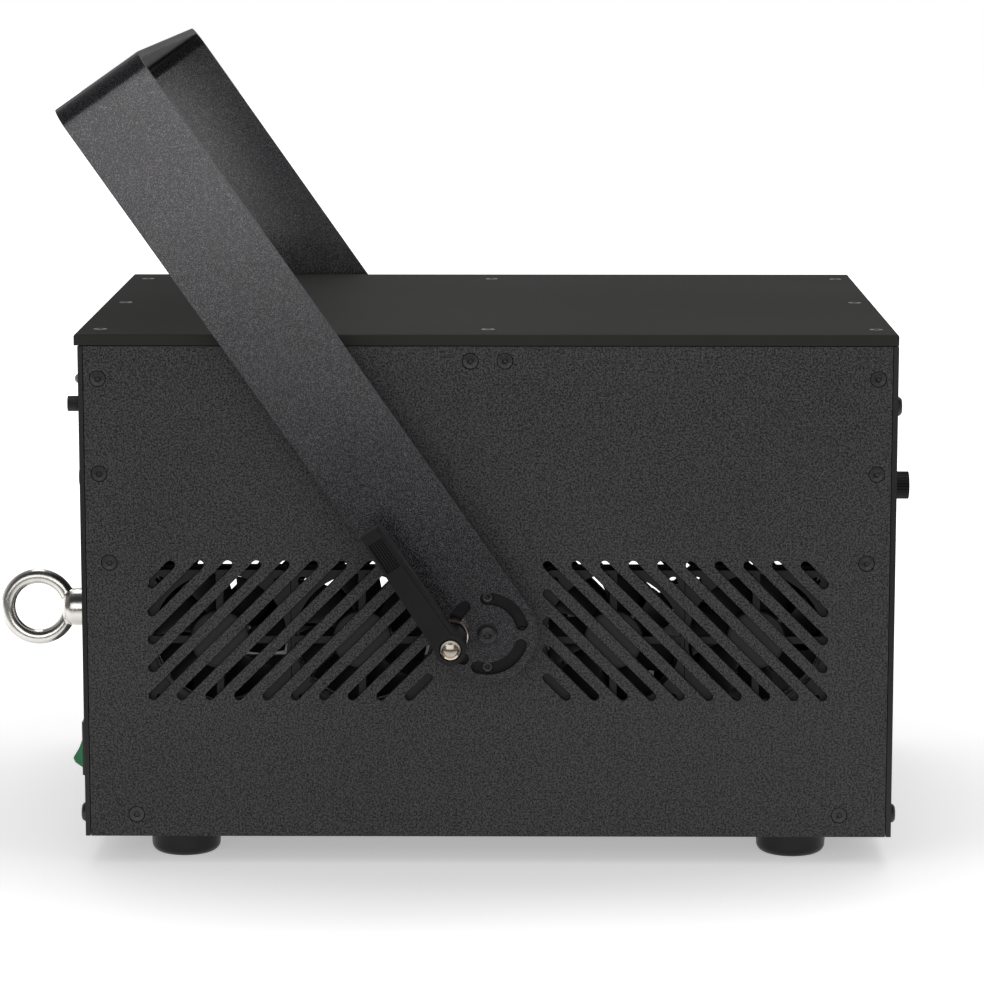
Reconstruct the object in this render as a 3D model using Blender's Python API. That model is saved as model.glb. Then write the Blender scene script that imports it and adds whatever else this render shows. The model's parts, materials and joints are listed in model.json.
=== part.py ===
"""A laser show projector: a sheet-metal case with fans and optics, a rear control panel and a tilting yoke.

Run it with blender --background --python part.py, or from Blender's text editor. Metres, +Z up.
+X is where the beam leaves, +Y is the projector's left. The origin is on the floor, under the middle
of the whole object's box.
"""

import math

import bmesh
import bpy
from mathutils import Vector

# Clearance between faces that rest on each other, and round what turns or slides in a hole
GAP = 0.0003

# Case
CASE_LENGTH = 0.3364
CASE_WIDTH = 0.246
CASE_HEIGHT = 0.209
SIDE_WALL = 0.003
FRONT_WALL = 0.0022
REAR_WALL = 0.002
BASE_WALL = 0.002
BASE_FLANGE = 0.016
RETURN_LENGTH = 0.014
RETURN_WALL = 0.0015
COVER_THICKNESS = 0.0047
COVER_CHAMFER = 0.0008
COVER_OVERHANG = 0.0015
COVER_TAB = (0.026, 0.0015, 0.014)

# Feet
FOOT_HEIGHT = 0.0117
FOOT_DIAMETER = 0.030
FOOT_ROUNDING = 0.003
FOOT_EDGE_INSET = 0.010
FOOT_END_INSET = 0.0232

# Vents: two fields of slots at 45 degrees on each side
VENT_LENGTH = 0.120
VENT_HEIGHT = 0.060
VENT_MIDDLE = 0.1007
VENT_END_INSET = 0.0252
SLOT_WIDTH = 0.004
SLOT_PITCH = 0.012
SLOT_END_STEPS = 4

# Yoke and its pivots
PIVOT_HEIGHT = 0.1025
YOKE_WIDTH = 0.0416
YOKE_THICKNESS = 0.003
YOKE_REACH = 0.279
YOKE_BEND = 0.010
YOKE_TILT = math.radians(35)
TILT_BACK = math.radians(50)
TILT_FORWARD = math.radians(46)
ARM_STANDOFF = 0.0117
DISC_RADIUS = 0.019
SLOT_RING_RADIUS = 0.0148
ARC_SLOT_WIDTH = 0.0052
# Where each arc slot starts and ends, clockwise from the arm's own length
ARC_SLOT_SPANS = (math.radians(33), math.radians(110)), (math.radians(144), math.radians(232))
ARC_SLOT_STEP = math.radians(14)
PIVOT_SHANK_RADIUS = 0.0025
PIVOT_HEAD_RADIUS = 0.00425
PIVOT_HEAD_HEIGHT = 0.003
PIVOT_SOCKET_RADIUS = 0.0023
PIVOT_SOCKET_DEPTH = 0.002
PIVOT_TAIL = 0.004
CLAMP_HOLE_RADIUS = 0.0065

# Clamp levers
INSERT_FLANGE_RADIUS = 0.0069
INSERT_FLANGE_LENGTH = 0.006
INSERT_NECK_RADIUS = 0.0045
INSERT_NECK_LENGTH = 0.0045
INSERT_CORE_RADIUS = 0.0035
LEVER_HUB_RADIUS = 0.0064
LEVER_HUB_LENGTH = 0.0232
LEVER_LIFT = 0.004
LEVER_SPRING_SOLID = 0.0015
LEVER_LENGTH = 0.059
LEVER_WIDTH = 0.011
LEVER_TIP_WIDTH = 0.0092
LEVER_DEPTH = 0.009
LEVER_TIP_RISE = 0.0025
LEVER_ANGLE = math.radians(33.5)
CLAMP_SCREW_RADIUS = 0.0043
CLAMP_SCREW_HEAD = 0.0025
CLAMP_SCREW_SHANK = 0.0015
CLAMP_SCREW_LENGTH = 0.006

# Lifting eye
EYE_HOLE_RADIUS = 0.010
EYE_WIRE_RADIUS = 0.00315
EYE_REACH = 0.021
EYE_COLLAR_RADIUS = 0.008
EYE_COLLAR_LENGTH = 0.008
EYE_SHANK_RADIUS = 0.004
EYE_SHANK_LENGTH = 0.012
EYE_NUT_WIDTH = 0.013
EYE_NUT_HEIGHT = 0.0065
EYE_PLACE = (0.023, 0.0946)

# Fans
FAN_SIZE = 0.0597
FAN_DEPTH = 0.015
FAN_BORE = 0.057
FAN_DROP = 0.0045
FAN_HUB_RADIUS = 0.0125
FAN_HUB_WALL = 0.0014
FAN_PLATE = 0.0025
FAN_STRUT_WIDTH = 0.003
FAN_PIN_RADIUS = 0.002
FAN_BLADES = 7
FAN_BLADE_WIDTH = 0.0135
FAN_BLADE_WALL = 0.0012
FAN_BLADE_PITCH = math.radians(38)
FAN_TIP_GAP = 0.0012

# Rear panel fittings, placed by their distance from the right side and their rise above the underside
SWITCH_PLACE = (0.019, 0.035)
SWITCH_WIDTH = 0.015
SWITCH_HEIGHT = 0.0232
SWITCH_RIM = 0.002
SWITCH_FLANGE = 0.002
SWITCH_DEPTH = 0.014
ROCKER_WIDTH = 0.0102
ROCKER_END_GAP = 0.0013
ROCKER_PIVOT_DEPTH = 0.0004
ROCKER_BACK = 0.003
# The rocker's face, from its lower end up: how far out from its pivot, at what share of its half height
ROCKER_FACE = (0.0030, -1), (0.0060, -0.75), (0.0069, -0.53), (0.0042, 0), (0.0024, 0.58), (0.0018, 1)
KNOB_PLACE = (0.012, 0.1834)
KNOB_RADIUS = 0.00325
KNOB_LENGTH = 0.0054
KNOB_SHAFT_RADIUS = 0.0015
KNOB_SHAFT_LENGTH = 0.010
INLET_PLACE = (0.065, 0.036)
INLET_FLANGE = (0.050, 0.0245, 0.0025)
INLET_BODY = (0.0275, 0.0200, 0.018)
INLET_WALL = 0.002
BLADE_SIZE = (0.002, 0.005, 0.008)
BLADE_PITCH = 0.007
BLADE_STEP = 0.0013
DMX_INPUT_PLACE = (0.115, 0.090)
DMX_OUTPUT_PLACE = (0.150, 0.090)
DMX_FLANGE = (0.026, 0.031, 0.002)
DMX_BODY_RADIUS = 0.0115
DMX_BODY_DEPTH = 0.016
DMX_BORE_RADIUS = 0.0078
DMX_BORE_DEPTH = 0.0125
PIN_CIRCLE = 0.0037
PIN_RADIUS = 0.0012
PIN_LENGTH = 0.0075
SIGNAL_PLACE = (0.132, 0.132)
SIGNAL_FLANGE = (0.053, 0.0125, 0.001)
SIGNAL_SHELL = (0.0385, 0.0080, 0.0058)
NETWORK_PLACE = (0.070, 0.090)
NETWORK_FACE = (0.0175, 0.0155, 0.0015)
NETWORK_BODY = (0.0155, 0.0135, 0.014)
NETWORK_CAVITY = (0.0118, 0.0078, 0.011)
DISPLAY_PLACE = (0.132, 0.186)
DISPLAY_FRAME = (0.072, 0.028, 0.0015)
DISPLAY_BODY = (0.066, 0.022, 0.008)
BUTTON_DROP = 0.026
BUTTON_PITCH = 0.014
BUTTON_RADIUS = 0.0035
BUTTON_PROUD = 0.002
BUTTON_FLANGE_RADIUS = 0.0047
BUTTON_FLANGE = 0.0015
BUTTON_COUNT = 4
KEY_PLACE = (0.213, 0.182)
KEY_HEAD_RADIUS = 0.0095
KEY_HEAD_LENGTH = 0.005
KEY_BARREL_RADIUS = 0.006
KEY_BARREL_LENGTH = 0.020
KEY_STEM_RADIUS = 0.0023
KEY_STEM_DEPTH = 0.016
KEY_SHOULDER = 0.003
KEY_BOW = (0.0022, 0.020, 0.016)

# Aperture, its window and its height mask
WINDOW_WIDTH = 0.090
WINDOW_HEIGHT = 0.046
GLASS_THICKNESS = 0.003
GLASS_LAP = 0.005
MASK_THICKNESS = 0.002
MASK_WIDTH = 0.140
MASK_LIFT = 0.003
MASK_TRAVEL = 0.028
MASK_SCREW_SPACING = 0.120
MASK_SCREW_RISE = 0.141
MASK_SCREW_SHANK = 0.002
MASK_MARGIN = 0.008
THUMB_SHOULDER_RADIUS = 0.004
THUMB_SHOULDER = 0.0018
THUMB_RADIUS = 0.006
THUMB_LENGTH = 0.007
THUMB_TAIL = 0.004

# Optics
OPTICS_FRONT_GAP = 0.018
OPTICS_LENGTH = 0.180
OPTICS_WIDTH = 0.124
OPTICS_PLATE = 0.006
OPTICS_LEG = 0.010
OPTICS_RISE = 0.038
BEAM_HEIGHT = 0.026
LASER_LENGTH = 0.080
LASER_WIDTH = 0.027
LASER_HEIGHT = 0.036
LASER_PITCH = 0.030
LASER_FAN_GAP = 0.0012
LASER_START = 0.010
LASER_APERTURE = 0.004
MIRROR_SIZE = 0.014
MIRROR_WALL = 0.003
MIRROR_DISTANCE = 0.110
MIRROR_RAIL = 0.016
RAIL_THICKNESS = 0.004
SCANNER_DISTANCE = 0.148
SCANNER_BASE = 0.034
GALVO_RADIUS = 0.0065
GALVO_LENGTH = 0.024
GALVO_SHAFT_RADIUS = 0.001
GALVO_MIRROR_LENGTH = 0.011
GALVO_MIRROR_WIDTH = 0.008
GALVO_MIRROR_WALL = 0.0010
GALVO_BORE_DEPTH = 0.008
GALVO_END_GAP = 0.0006
GALVO_SPACING = 0.015

# Electronics on the base plate
SUPPLY_SIZE = (0.160, 0.070, 0.042)
SUPPLY_EDGE = 0.005
SUPPLY_REAR_GAP = 0.030
BOARD_SIZE = (0.095, 0.095, 0.0016)
BOARD_OPTICS_GAP = 0.006
BOARD_RIGHT_GAP = 0.024
BOARD_POST = 0.006
BOARD_POST_HEIGHT = 0.010

# Planes of the case, worked out from the sizes above
UNDERSIDE = FOOT_HEIGHT + GAP
CASE_TOP = UNDERSIDE + CASE_HEIGHT
FLOOR_TOP = UNDERSIDE + BASE_WALL
HALF_LENGTH = CASE_LENGTH / 2
HALF_WIDTH = CASE_WIDTH / 2
INNER_WIDTH = HALF_WIDTH - SIDE_WALL - GAP
FRONT_FACE = HALF_LENGTH + GAP + FRONT_WALL
REAR_FACE = -(HALF_LENGTH + GAP + REAR_WALL)
VENT_HALF_SPACING = HALF_LENGTH - VENT_END_INSET - VENT_LENGTH
ARM_INNER = HALF_WIDTH + ARM_STANDOFF
ARM_OUTER = ARM_INNER + YOKE_THICKNESS
STUD_RADIUS = ARC_SLOT_WIDTH / 2 - GAP
STUD_ANGLE = math.radians(270)
BEAM_Z = FLOOR_TOP + GAP + OPTICS_RISE + BEAM_HEIGHT
EYE_CENTRE_X = REAR_FACE - EYE_REACH
THUMB_END = FRONT_FACE + 2 * GAP + MASK_THICKNESS + THUMB_SHOULDER + THUMB_LENGTH

# The case's middle is moved along X so that the whole object's box is centred on the origin
REAR_REACH = max(
    -EYE_CENTRE_X + EYE_HOLE_RADIUS + 2 * EYE_WIRE_RADIUS,
    YOKE_REACH * math.sin(YOKE_TILT) + YOKE_WIDTH / 2 * math.cos(YOKE_TILT),
)
CASE_SHIFT = (REAR_REACH - THUMB_END) / 2

# Finishes: colour, roughness, metallic
POWDER = (0.036, 0.036, 0.040), 0.55, 0.0
COVER_PAINT = (0.040, 0.040, 0.036), 0.45, 0.0
RUBBER = (0.012, 0.012, 0.012), 0.75, 0.0
PLATED_STEEL = (0.62, 0.61, 0.58), 0.25, 1.0
BLACK_STEEL = (0.020, 0.020, 0.022), 0.40, 0.8
BLACK_PLASTIC = (0.018, 0.018, 0.018), 0.40, 0.0
GREEN_PLASTIC = (0.010, 0.300, 0.110), 0.25, 0.0
CHROME = (0.75, 0.74, 0.72), 0.12, 1.0
ALUMINIUM = (0.55, 0.56, 0.58), 0.35, 1.0
GLASS = (0.70, 0.78, 0.80), 0.05, 0.0
BOARD_GREEN = (0.020, 0.120, 0.050), 0.55, 0.0

# For each axis: the outline's first and second directions, then the axis itself
DIRECTIONS = {
    "X": (Vector((0, 1, 0)), Vector((0, 0, 1)), Vector((1, 0, 0))),
    "Y": (Vector((1, 0, 0)), Vector((0, 0, 1)), Vector((0, 1, 0))),
    "Z": (Vector((1, 0, 0)), Vector((0, 1, 0)), Vector((0, 0, 1))),
}
# How far a cutter runs past the wall that it cuts, and how deep a joined shape sinks into its owner
OVERRUN = 0.002
# The bevel that takes the sharp edge off a turned head
EDGE_CHAMFER = 0.0006


def clear_scene():
    """Removes every object that the file starts with."""
    for obj in list(bpy.data.objects):
        bpy.data.objects.remove(obj, do_unlink=True)


def circle(radius, steps, centre=(0.0, 0.0), start=0.0, sweep=2 * math.pi):
    """Points round a circle, or along an arc with both its ends."""
    whole = abs(sweep) >= 2 * math.pi
    count = steps if whole else steps + 1
    angles = [start + sweep * i / steps for i in range(count)]
    return [(centre[0] + radius * math.cos(a), centre[1] + radius * math.sin(a)) for a in angles]


def rectangle(width, height, centre=(0.0, 0.0)):
    """The four corners of a rectangle round its centre."""
    half_width, half_height = width / 2, height / 2
    corners = ((-half_width, -half_height), (half_width, -half_height))
    corners += ((half_width, half_height), (-half_width, half_height))
    return [(centre[0] + a, centre[1] + b) for a, b in corners]


def prism(shape, outline, axis, start, end):
    """Adds an outline pulled straight from start to end along an axis."""
    first, second, along = DIRECTIONS[axis]
    corners = [shape.verts.new(first * a + second * b + along * start) for a, b in outline]
    face = shape.faces.new(corners)
    pulled = bmesh.ops.extrude_face_region(shape, geom=[face])["geom"]
    moved = [item for item in pulled if isinstance(item, bmesh.types.BMVert)]
    bmesh.ops.translate(shape, vec=along * (end - start), verts=moved)


def box(shape, low, high):
    """Adds a box between its lowest and highest corners."""
    outline = [(low[0], low[1]), (high[0], low[1]), (high[0], high[1]), (low[0], high[1])]
    prism(shape, outline, "Z", low[2], high[2])


def turned(shape, profile, steps, axis="Z", at=(0.0, 0.0, 0.0), facing=1):
    """Adds a profile of (radius, height) points turned about an axis.

    The profile is a closed ring, or runs from the axis out and back to the axis.
    """
    first, _, along = DIRECTIONS[axis]
    centre = Vector(at)
    points = [shape.verts.new(centre + first * r + along * h * facing) for r, h in profile]
    links = list(zip(points, points[1:]))
    if profile[0][0] > 0:
        links.append((points[-1], points[0]))
    edges = [shape.edges.new(link) for link in links]
    bmesh.ops.spin(
        shape, geom=points + edges, cent=centre, axis=along, angle=2 * math.pi, steps=steps, use_merge=True
    )
    bmesh.ops.remove_doubles(shape, verts=shape.verts, dist=1e-7)


def close_ends(shape, base, tip):
    """Joins two rings of points into a closed bar."""
    shape.faces.new(base)
    shape.faces.new(tip)
    for i, corner in enumerate(base):
        shape.faces.new((base[i - 1], corner, tip[i], tip[i - 1]))


def rod(shape, radius, start, end, steps, axis="Z", at=(0.0, 0.0, 0.0), facing=1):
    """Adds a plain round rod."""
    turned(shape, [(0, start), (radius, start), (radius, end), (0, end)], steps, axis, at, facing)


def mesh_of(name, shape, origin):
    """Makes the mesh of a shape, measured from its own origin."""
    bmesh.ops.recalc_face_normals(shape, faces=shape.faces)
    bmesh.ops.translate(shape, vec=-Vector(origin), verts=shape.verts)
    mesh = bpy.data.meshes.new(name)
    shape.to_mesh(mesh)
    shape.free()
    return mesh


def painted(name, finish):
    """Makes the material of one part."""
    colour, roughness, metallic = finish
    material = bpy.data.materials.new(name)
    material.use_nodes = True
    shader = material.node_tree.nodes["Principled BSDF"]
    shader.inputs["Base Color"].default_value = (*colour, 1.0)
    shader.inputs["Roughness"].default_value = roughness
    shader.inputs["Metallic"].default_value = metallic
    return material


def part(name, finish, shape, origin=(0.0, 0.0, 0.0), place=None, turn=(0.0, 0.0, 0.0), smooth=False):
    """Makes one part, hung on the case's empty, from a shape that it takes over."""
    mesh = mesh_of(name, shape, origin)
    mesh.materials.append(painted(name, finish))
    if smooth:
        mesh.shade_smooth()
        mesh.set_sharp_from_angle(angle=math.radians(40))
    obj = bpy.data.objects.new(name, mesh)
    bpy.context.scene.collection.objects.link(obj)
    obj.location = origin if place is None else place
    obj.rotation_euler = turn
    obj.parent = bpy.data.objects["case"]
    return obj


def combine(owner, shape, operation, origin=(0.0, 0.0, 0.0)):
    """Cuts a shape from a part, joins it on, or keeps what they share."""
    name = f"{owner.name}_{operation.lower()}_{len(owner.modifiers)}"
    helper = bpy.data.objects.new(name, mesh_of(name, shape, origin))
    bpy.context.scene.collection.objects.link(helper)
    helper.parent = owner
    helper.hide_render = True
    helper.display_type = "WIRE"
    modifier = owner.modifiers.new(name, "BOOLEAN")
    modifier.object = helper
    modifier.operation = operation
    modifier.solver = "EXACT"


def make_base():
    """The base plate: a tray with an upturned flange along each side."""
    outer = INNER_WIDTH
    inner = outer - BASE_WALL
    top = UNDERSIDE + BASE_FLANGE
    outline = [(-outer, UNDERSIDE), (outer, UNDERSIDE), (outer, top), (inner, top)]
    outline += [(inner, FLOOR_TOP), (-inner, FLOOR_TOP), (-inner, top), (-outer, top)]
    shape = bmesh.new()
    prism(shape, outline, "X", -HALF_LENGTH, HALF_LENGTH)
    part("base_plate", POWDER, shape, origin=(0, 0, UNDERSIDE))


def foot_centres():
    """Each foot's name and its centre on the floor."""
    across = HALF_WIDTH - FOOT_EDGE_INSET - FOOT_DIAMETER / 2
    along = HALF_LENGTH - FOOT_END_INSET - FOOT_DIAMETER / 2
    for end, x in (("front", along), ("rear", -along)):
        for side, y in (("right", -across), ("left", across)):
            yield f"{end}_{side}_foot", (x, y, 0.0)


def make_feet():
    """Four round rubber feet with rounded bottom edges."""
    radius = FOOT_DIAMETER / 2
    rounding = circle(FOOT_ROUNDING, 3, (radius - FOOT_ROUNDING, FOOT_ROUNDING), -math.pi / 2, math.pi / 2)
    profile = [(0, 0), *rounding, (radius, FOOT_HEIGHT), (0, FOOT_HEIGHT)]
    for name, centre in foot_centres():
        shape = bmesh.new()
        turned(shape, profile, 20)
        part(name, RUBBER, shape, place=centre, smooth=True)


def slot_field():
    """The centre lines of a vent's slots, from its lower left corner, as pairs of end points."""
    reach = SLOT_WIDTH / 2
    right, top = VENT_LENGTH - reach, VENT_HEIGHT - reach
    count = int((VENT_LENGTH + VENT_HEIGHT - SLOT_PITCH / 2) / SLOT_PITCH)
    first = -(VENT_HEIGHT - SLOT_PITCH)
    for k in range(count):
        across = first + SLOT_PITCH * k
        start = (across + reach, reach) if across >= 0 else (reach, reach - across)
        end = (across + top, top) if across + top <= right else (right, right - across)
        if end[0] - start[0] > SLOT_WIDTH:
            yield start, end


def add_slots(shape, hand, wall_start, wall_end):
    """Adds the slots of the vent on one hand of the pivot, as rods with round ends across the wall."""
    reach = SLOT_WIDTH / 2
    bottom = VENT_MIDDLE - VENT_HEIGHT / 2
    left = VENT_HALF_SPACING + VENT_LENGTH
    for start, end in slot_field():
        lean = math.atan2(end[1] - start[1], end[0] - start[0])
        outline = circle(reach, SLOT_END_STEPS, end, lean - math.pi / 2, math.pi)
        outline += circle(reach, SLOT_END_STEPS, start, lean + math.pi / 2, math.pi)
        placed = [(hand * (left - a), bottom + b) for a, b in outline]
        prism(shape, placed, "Y", wall_start, wall_end)


def make_side_panel(name, side):
    """A side panel with its two vents and the holes of the yoke's pivot and clamp."""
    wall = sorted((side * (HALF_WIDTH - SIDE_WALL), side * HALF_WIDTH))
    shape = bmesh.new()
    box(shape, (-HALF_LENGTH, wall[0], UNDERSIDE), (HALF_LENGTH, wall[1], CASE_TOP))
    origin = (0, side * HALF_WIDTH, UNDERSIDE)
    panel = part(name, POWDER, shape, origin=origin)
    cuts = bmesh.new()
    reach = wall[0] - OVERRUN, wall[1] + OVERRUN
    for hand in (-1, 1):
        add_slots(cuts, hand, *reach)
    combine(panel, cuts, "DIFFERENCE", origin)
    holes = bmesh.new()
    prism(holes, circle(PIVOT_SHANK_RADIUS + GAP, 12, (0, PIVOT_HEIGHT)), "Y", *reach)
    prism(holes, circle(STUD_RADIUS + GAP, 12, (-SLOT_RING_RADIUS, PIVOT_HEIGHT)), "Y", *reach)
    combine(panel, holes, "DIFFERENCE", origin)


def end_pan(shape, facing, wall):
    """Adds an end panel with a return along each side, whose lower ends stand on the base's flanges."""
    inner_face = facing * (HALF_LENGTH + GAP)
    outer_face = inner_face + facing * wall
    tip = facing * (HALF_LENGTH - RETURN_LENGTH)
    inside = INNER_WIDTH - RETURN_WALL
    outline = [(outer_face, -HALF_WIDTH), (outer_face, HALF_WIDTH), (inner_face, HALF_WIDTH)]
    outline += [(inner_face, INNER_WIDTH), (tip, INNER_WIDTH), (tip, inside), (inner_face, inside)]
    outline += [(a, -b) for a, b in reversed(outline[2:])]
    prism(shape, outline, "Z", UNDERSIDE, CASE_TOP)


def cut_pan_corners(cuts, facing):
    """Adds what clears a pan's returns from the base plate's flanges."""
    near = facing * (HALF_LENGTH + GAP)
    far = facing * (HALF_LENGTH - RETURN_LENGTH - OVERRUN)
    low_x, high_x = sorted((near, far))
    top = UNDERSIDE + BASE_FLANGE + GAP
    box(cuts, (low_x, -HALF_WIDTH, UNDERSIDE - OVERRUN), (high_x, HALF_WIDTH, top))


def make_front_panel():
    """The front panel with the beam's aperture and the holes of the mask's thumb screws."""
    shape = bmesh.new()
    end_pan(shape, 1, FRONT_WALL)
    origin = (FRONT_FACE, 0, UNDERSIDE)
    panel = part("front_panel", POWDER, shape, origin=origin)
    cuts = bmesh.new()
    reach = HALF_LENGTH + GAP - OVERRUN, FRONT_FACE + OVERRUN
    prism(cuts, rectangle(WINDOW_WIDTH, WINDOW_HEIGHT, (0, BEAM_Z)), "X", *reach)
    for y, z in mask_screw_places():
        prism(cuts, circle(MASK_SCREW_SHANK + GAP, 12, (y, z)), "X", *reach)
    cut_pan_corners(cuts, 1)
    combine(panel, cuts, "DIFFERENCE", origin)


def rear_place(place):
    """A rear fitting's centre across the case and above the floor."""
    return -HALF_WIDTH + place[0], UNDERSIDE + place[1]


def button_places():
    """The centres of the menu buttons, in a row under the display."""
    middle, rise = rear_place(DISPLAY_PLACE)
    for i in range(BUTTON_COUNT):
        yield middle + BUTTON_PITCH * (i - (BUTTON_COUNT - 1) / 2), rise - BUTTON_DROP


def switch_body():
    """The width and height of the rocker switch behind the panel."""
    return SWITCH_WIDTH - SWITCH_RIM, SWITCH_HEIGHT - SWITCH_RIM


def rear_cutouts():
    """The outlines of the holes in the rear panel, each its fitting's body and a clearance."""
    margin = 2 * GAP
    switch = switch_body()
    yield rectangle(switch[0] + margin, switch[1] + margin, rear_place(SWITCH_PLACE))
    yield circle(KNOB_SHAFT_RADIUS + GAP, 12, rear_place(KNOB_PLACE))
    yield rectangle(INLET_BODY[0] + margin, INLET_BODY[1] + margin, rear_place(INLET_PLACE))
    yield circle(DMX_BODY_RADIUS + GAP, 20, rear_place(DMX_INPUT_PLACE))
    yield circle(DMX_BODY_RADIUS + GAP, 20, rear_place(DMX_OUTPUT_PLACE))
    signal_height = SIGNAL_SHELL[1] + margin
    yield rectangle(SIGNAL_SHELL[0] + margin, signal_height, rear_place(SIGNAL_PLACE))
    yield rectangle(NETWORK_BODY[0] + margin, NETWORK_BODY[1] + margin, rear_place(NETWORK_PLACE))
    yield rectangle(DISPLAY_BODY[0] + margin, DISPLAY_BODY[1] + margin, rear_place(DISPLAY_PLACE))
    yield circle(KEY_BARREL_RADIUS + GAP, 16, rear_place(KEY_PLACE))
    yield circle(EYE_SHANK_RADIUS + GAP, 12, rear_place(EYE_PLACE))
    for place in button_places():
        yield circle(BUTTON_RADIUS + GAP, 12, place)


def make_rear_panel():
    """The rear panel with a hole for each fitting."""
    shape = bmesh.new()
    end_pan(shape, -1, REAR_WALL)
    origin = (REAR_FACE, 0, UNDERSIDE)
    panel = part("rear_panel", POWDER, shape, origin=origin)
    cuts = bmesh.new()
    for outline in rear_cutouts():
        prism(cuts, outline, "X", REAR_FACE - OVERRUN, REAR_FACE + REAR_WALL + OVERRUN)
    cut_pan_corners(cuts, -1)
    combine(panel, cuts, "DIFFERENCE", origin)


def make_cover():
    """The top cover: a chamfered plate with a tab that hangs inside each side panel."""
    bottom = CASE_TOP + GAP
    top = bottom + COVER_THICKNESS
    shape = bmesh.new()
    box(shape, (REAR_FACE - COVER_OVERHANG, -HALF_WIDTH, bottom), (FRONT_FACE, HALF_WIDTH, top))
    shape.normal_update()
    rim = [e for e in shape.edges if all(v.co.z > top - GAP for v in e.verts)]
    bmesh.ops.bevel(shape, geom=rim, offset=COVER_CHAMFER, segments=1, affect="EDGES")
    origin = (0, 0, bottom)
    cover = part("top_cover", COVER_PAINT, shape, origin=origin)
    tabs = bmesh.new()
    length, wall, drop = COVER_TAB
    for side in (-1, 1):
        near, far = sorted((side * INNER_WIDTH, side * (INNER_WIDTH - wall)))
        box(tabs, (-length / 2, near, bottom - drop), (length / 2, far, bottom + COVER_THICKNESS / 2))
    combine(cover, tabs, "UNION", origin)


def make_pivot(side, hand):
    """One side's pivot disc, between the panel and the arm, and the screw that the arm turns on."""
    at = (0, 0, PIVOT_HEIGHT)
    stud_at = (-SLOT_RING_RADIUS, PIVOT_HEIGHT)
    disc_start, disc_end = HALF_WIDTH + GAP, ARM_INNER - GAP
    origin = (0, side * disc_start, PIVOT_HEIGHT)
    shape = bmesh.new()
    rod(shape, DISC_RADIUS, disc_start, disc_end, 28, "Y", at, side)
    disc = part(f"{hand}_pivot_disc", BLACK_STEEL, shape, origin=origin, smooth=True)
    cuts = bmesh.new()
    reach = side * (disc_start - OVERRUN), side * (disc_end + OVERRUN)
    prism(cuts, circle(PIVOT_SHANK_RADIUS + GAP, 12, (0, PIVOT_HEIGHT)), "Y", *reach)
    prism(cuts, circle(STUD_RADIUS + GAP, 12, stud_at), "Y", *reach)
    combine(disc, cuts, "DIFFERENCE", origin)

    seat = ARM_OUTER + GAP
    crown = seat + PIVOT_HEAD_HEIGHT
    tail = HALF_WIDTH - SIDE_WALL - PIVOT_TAIL
    profile = [(0, tail), (PIVOT_SHANK_RADIUS, tail), (PIVOT_SHANK_RADIUS, seat)]
    profile += [(PIVOT_HEAD_RADIUS, seat), (PIVOT_HEAD_RADIUS, crown - EDGE_CHAMFER)]
    profile += [(PIVOT_HEAD_RADIUS - EDGE_CHAMFER, crown), (0, crown)]
    shape = bmesh.new()
    turned(shape, profile, 16, "Y", at, side)
    origin = (0, side * seat, PIVOT_HEIGHT)
    screw = part(f"{hand}_pivot_screw", BLACK_STEEL, shape, origin=origin, smooth=True)
    socket = bmesh.new()
    hexagon = circle(PIVOT_SOCKET_RADIUS, 6, (0, PIVOT_HEIGHT))
    prism(socket, hexagon, "Y", side * (crown - PIVOT_SOCKET_DEPTH), side * (crown + OVERRUN))
    combine(screw, socket, "DIFFERENCE", origin)


def arc_slot(start, end):
    """The outline of a slot along the ring round the pivot, by angles clockwise from the arm's length."""
    half = ARC_SLOT_WIDTH / 2
    start, end = math.pi / 2 - start, math.pi / 2 - end
    steps = max(2, round(abs(end - start) / ARC_SLOT_STEP))
    outer = circle(SLOT_RING_RADIUS + half, steps, (0, 0), start, end - start)
    inner = circle(SLOT_RING_RADIUS - half, steps, (0, 0), end, start - end)
    near = (SLOT_RING_RADIUS * math.cos(start), SLOT_RING_RADIUS * math.sin(start))
    far = (SLOT_RING_RADIUS * math.cos(end), SLOT_RING_RADIUS * math.sin(end))
    far_cap = circle(half, 5, far, end, -math.pi)[1:-1]
    near_cap = circle(half, 5, near, start + math.pi, -math.pi)[1:-1]
    return outer + far_cap + inner + near_cap


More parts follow.
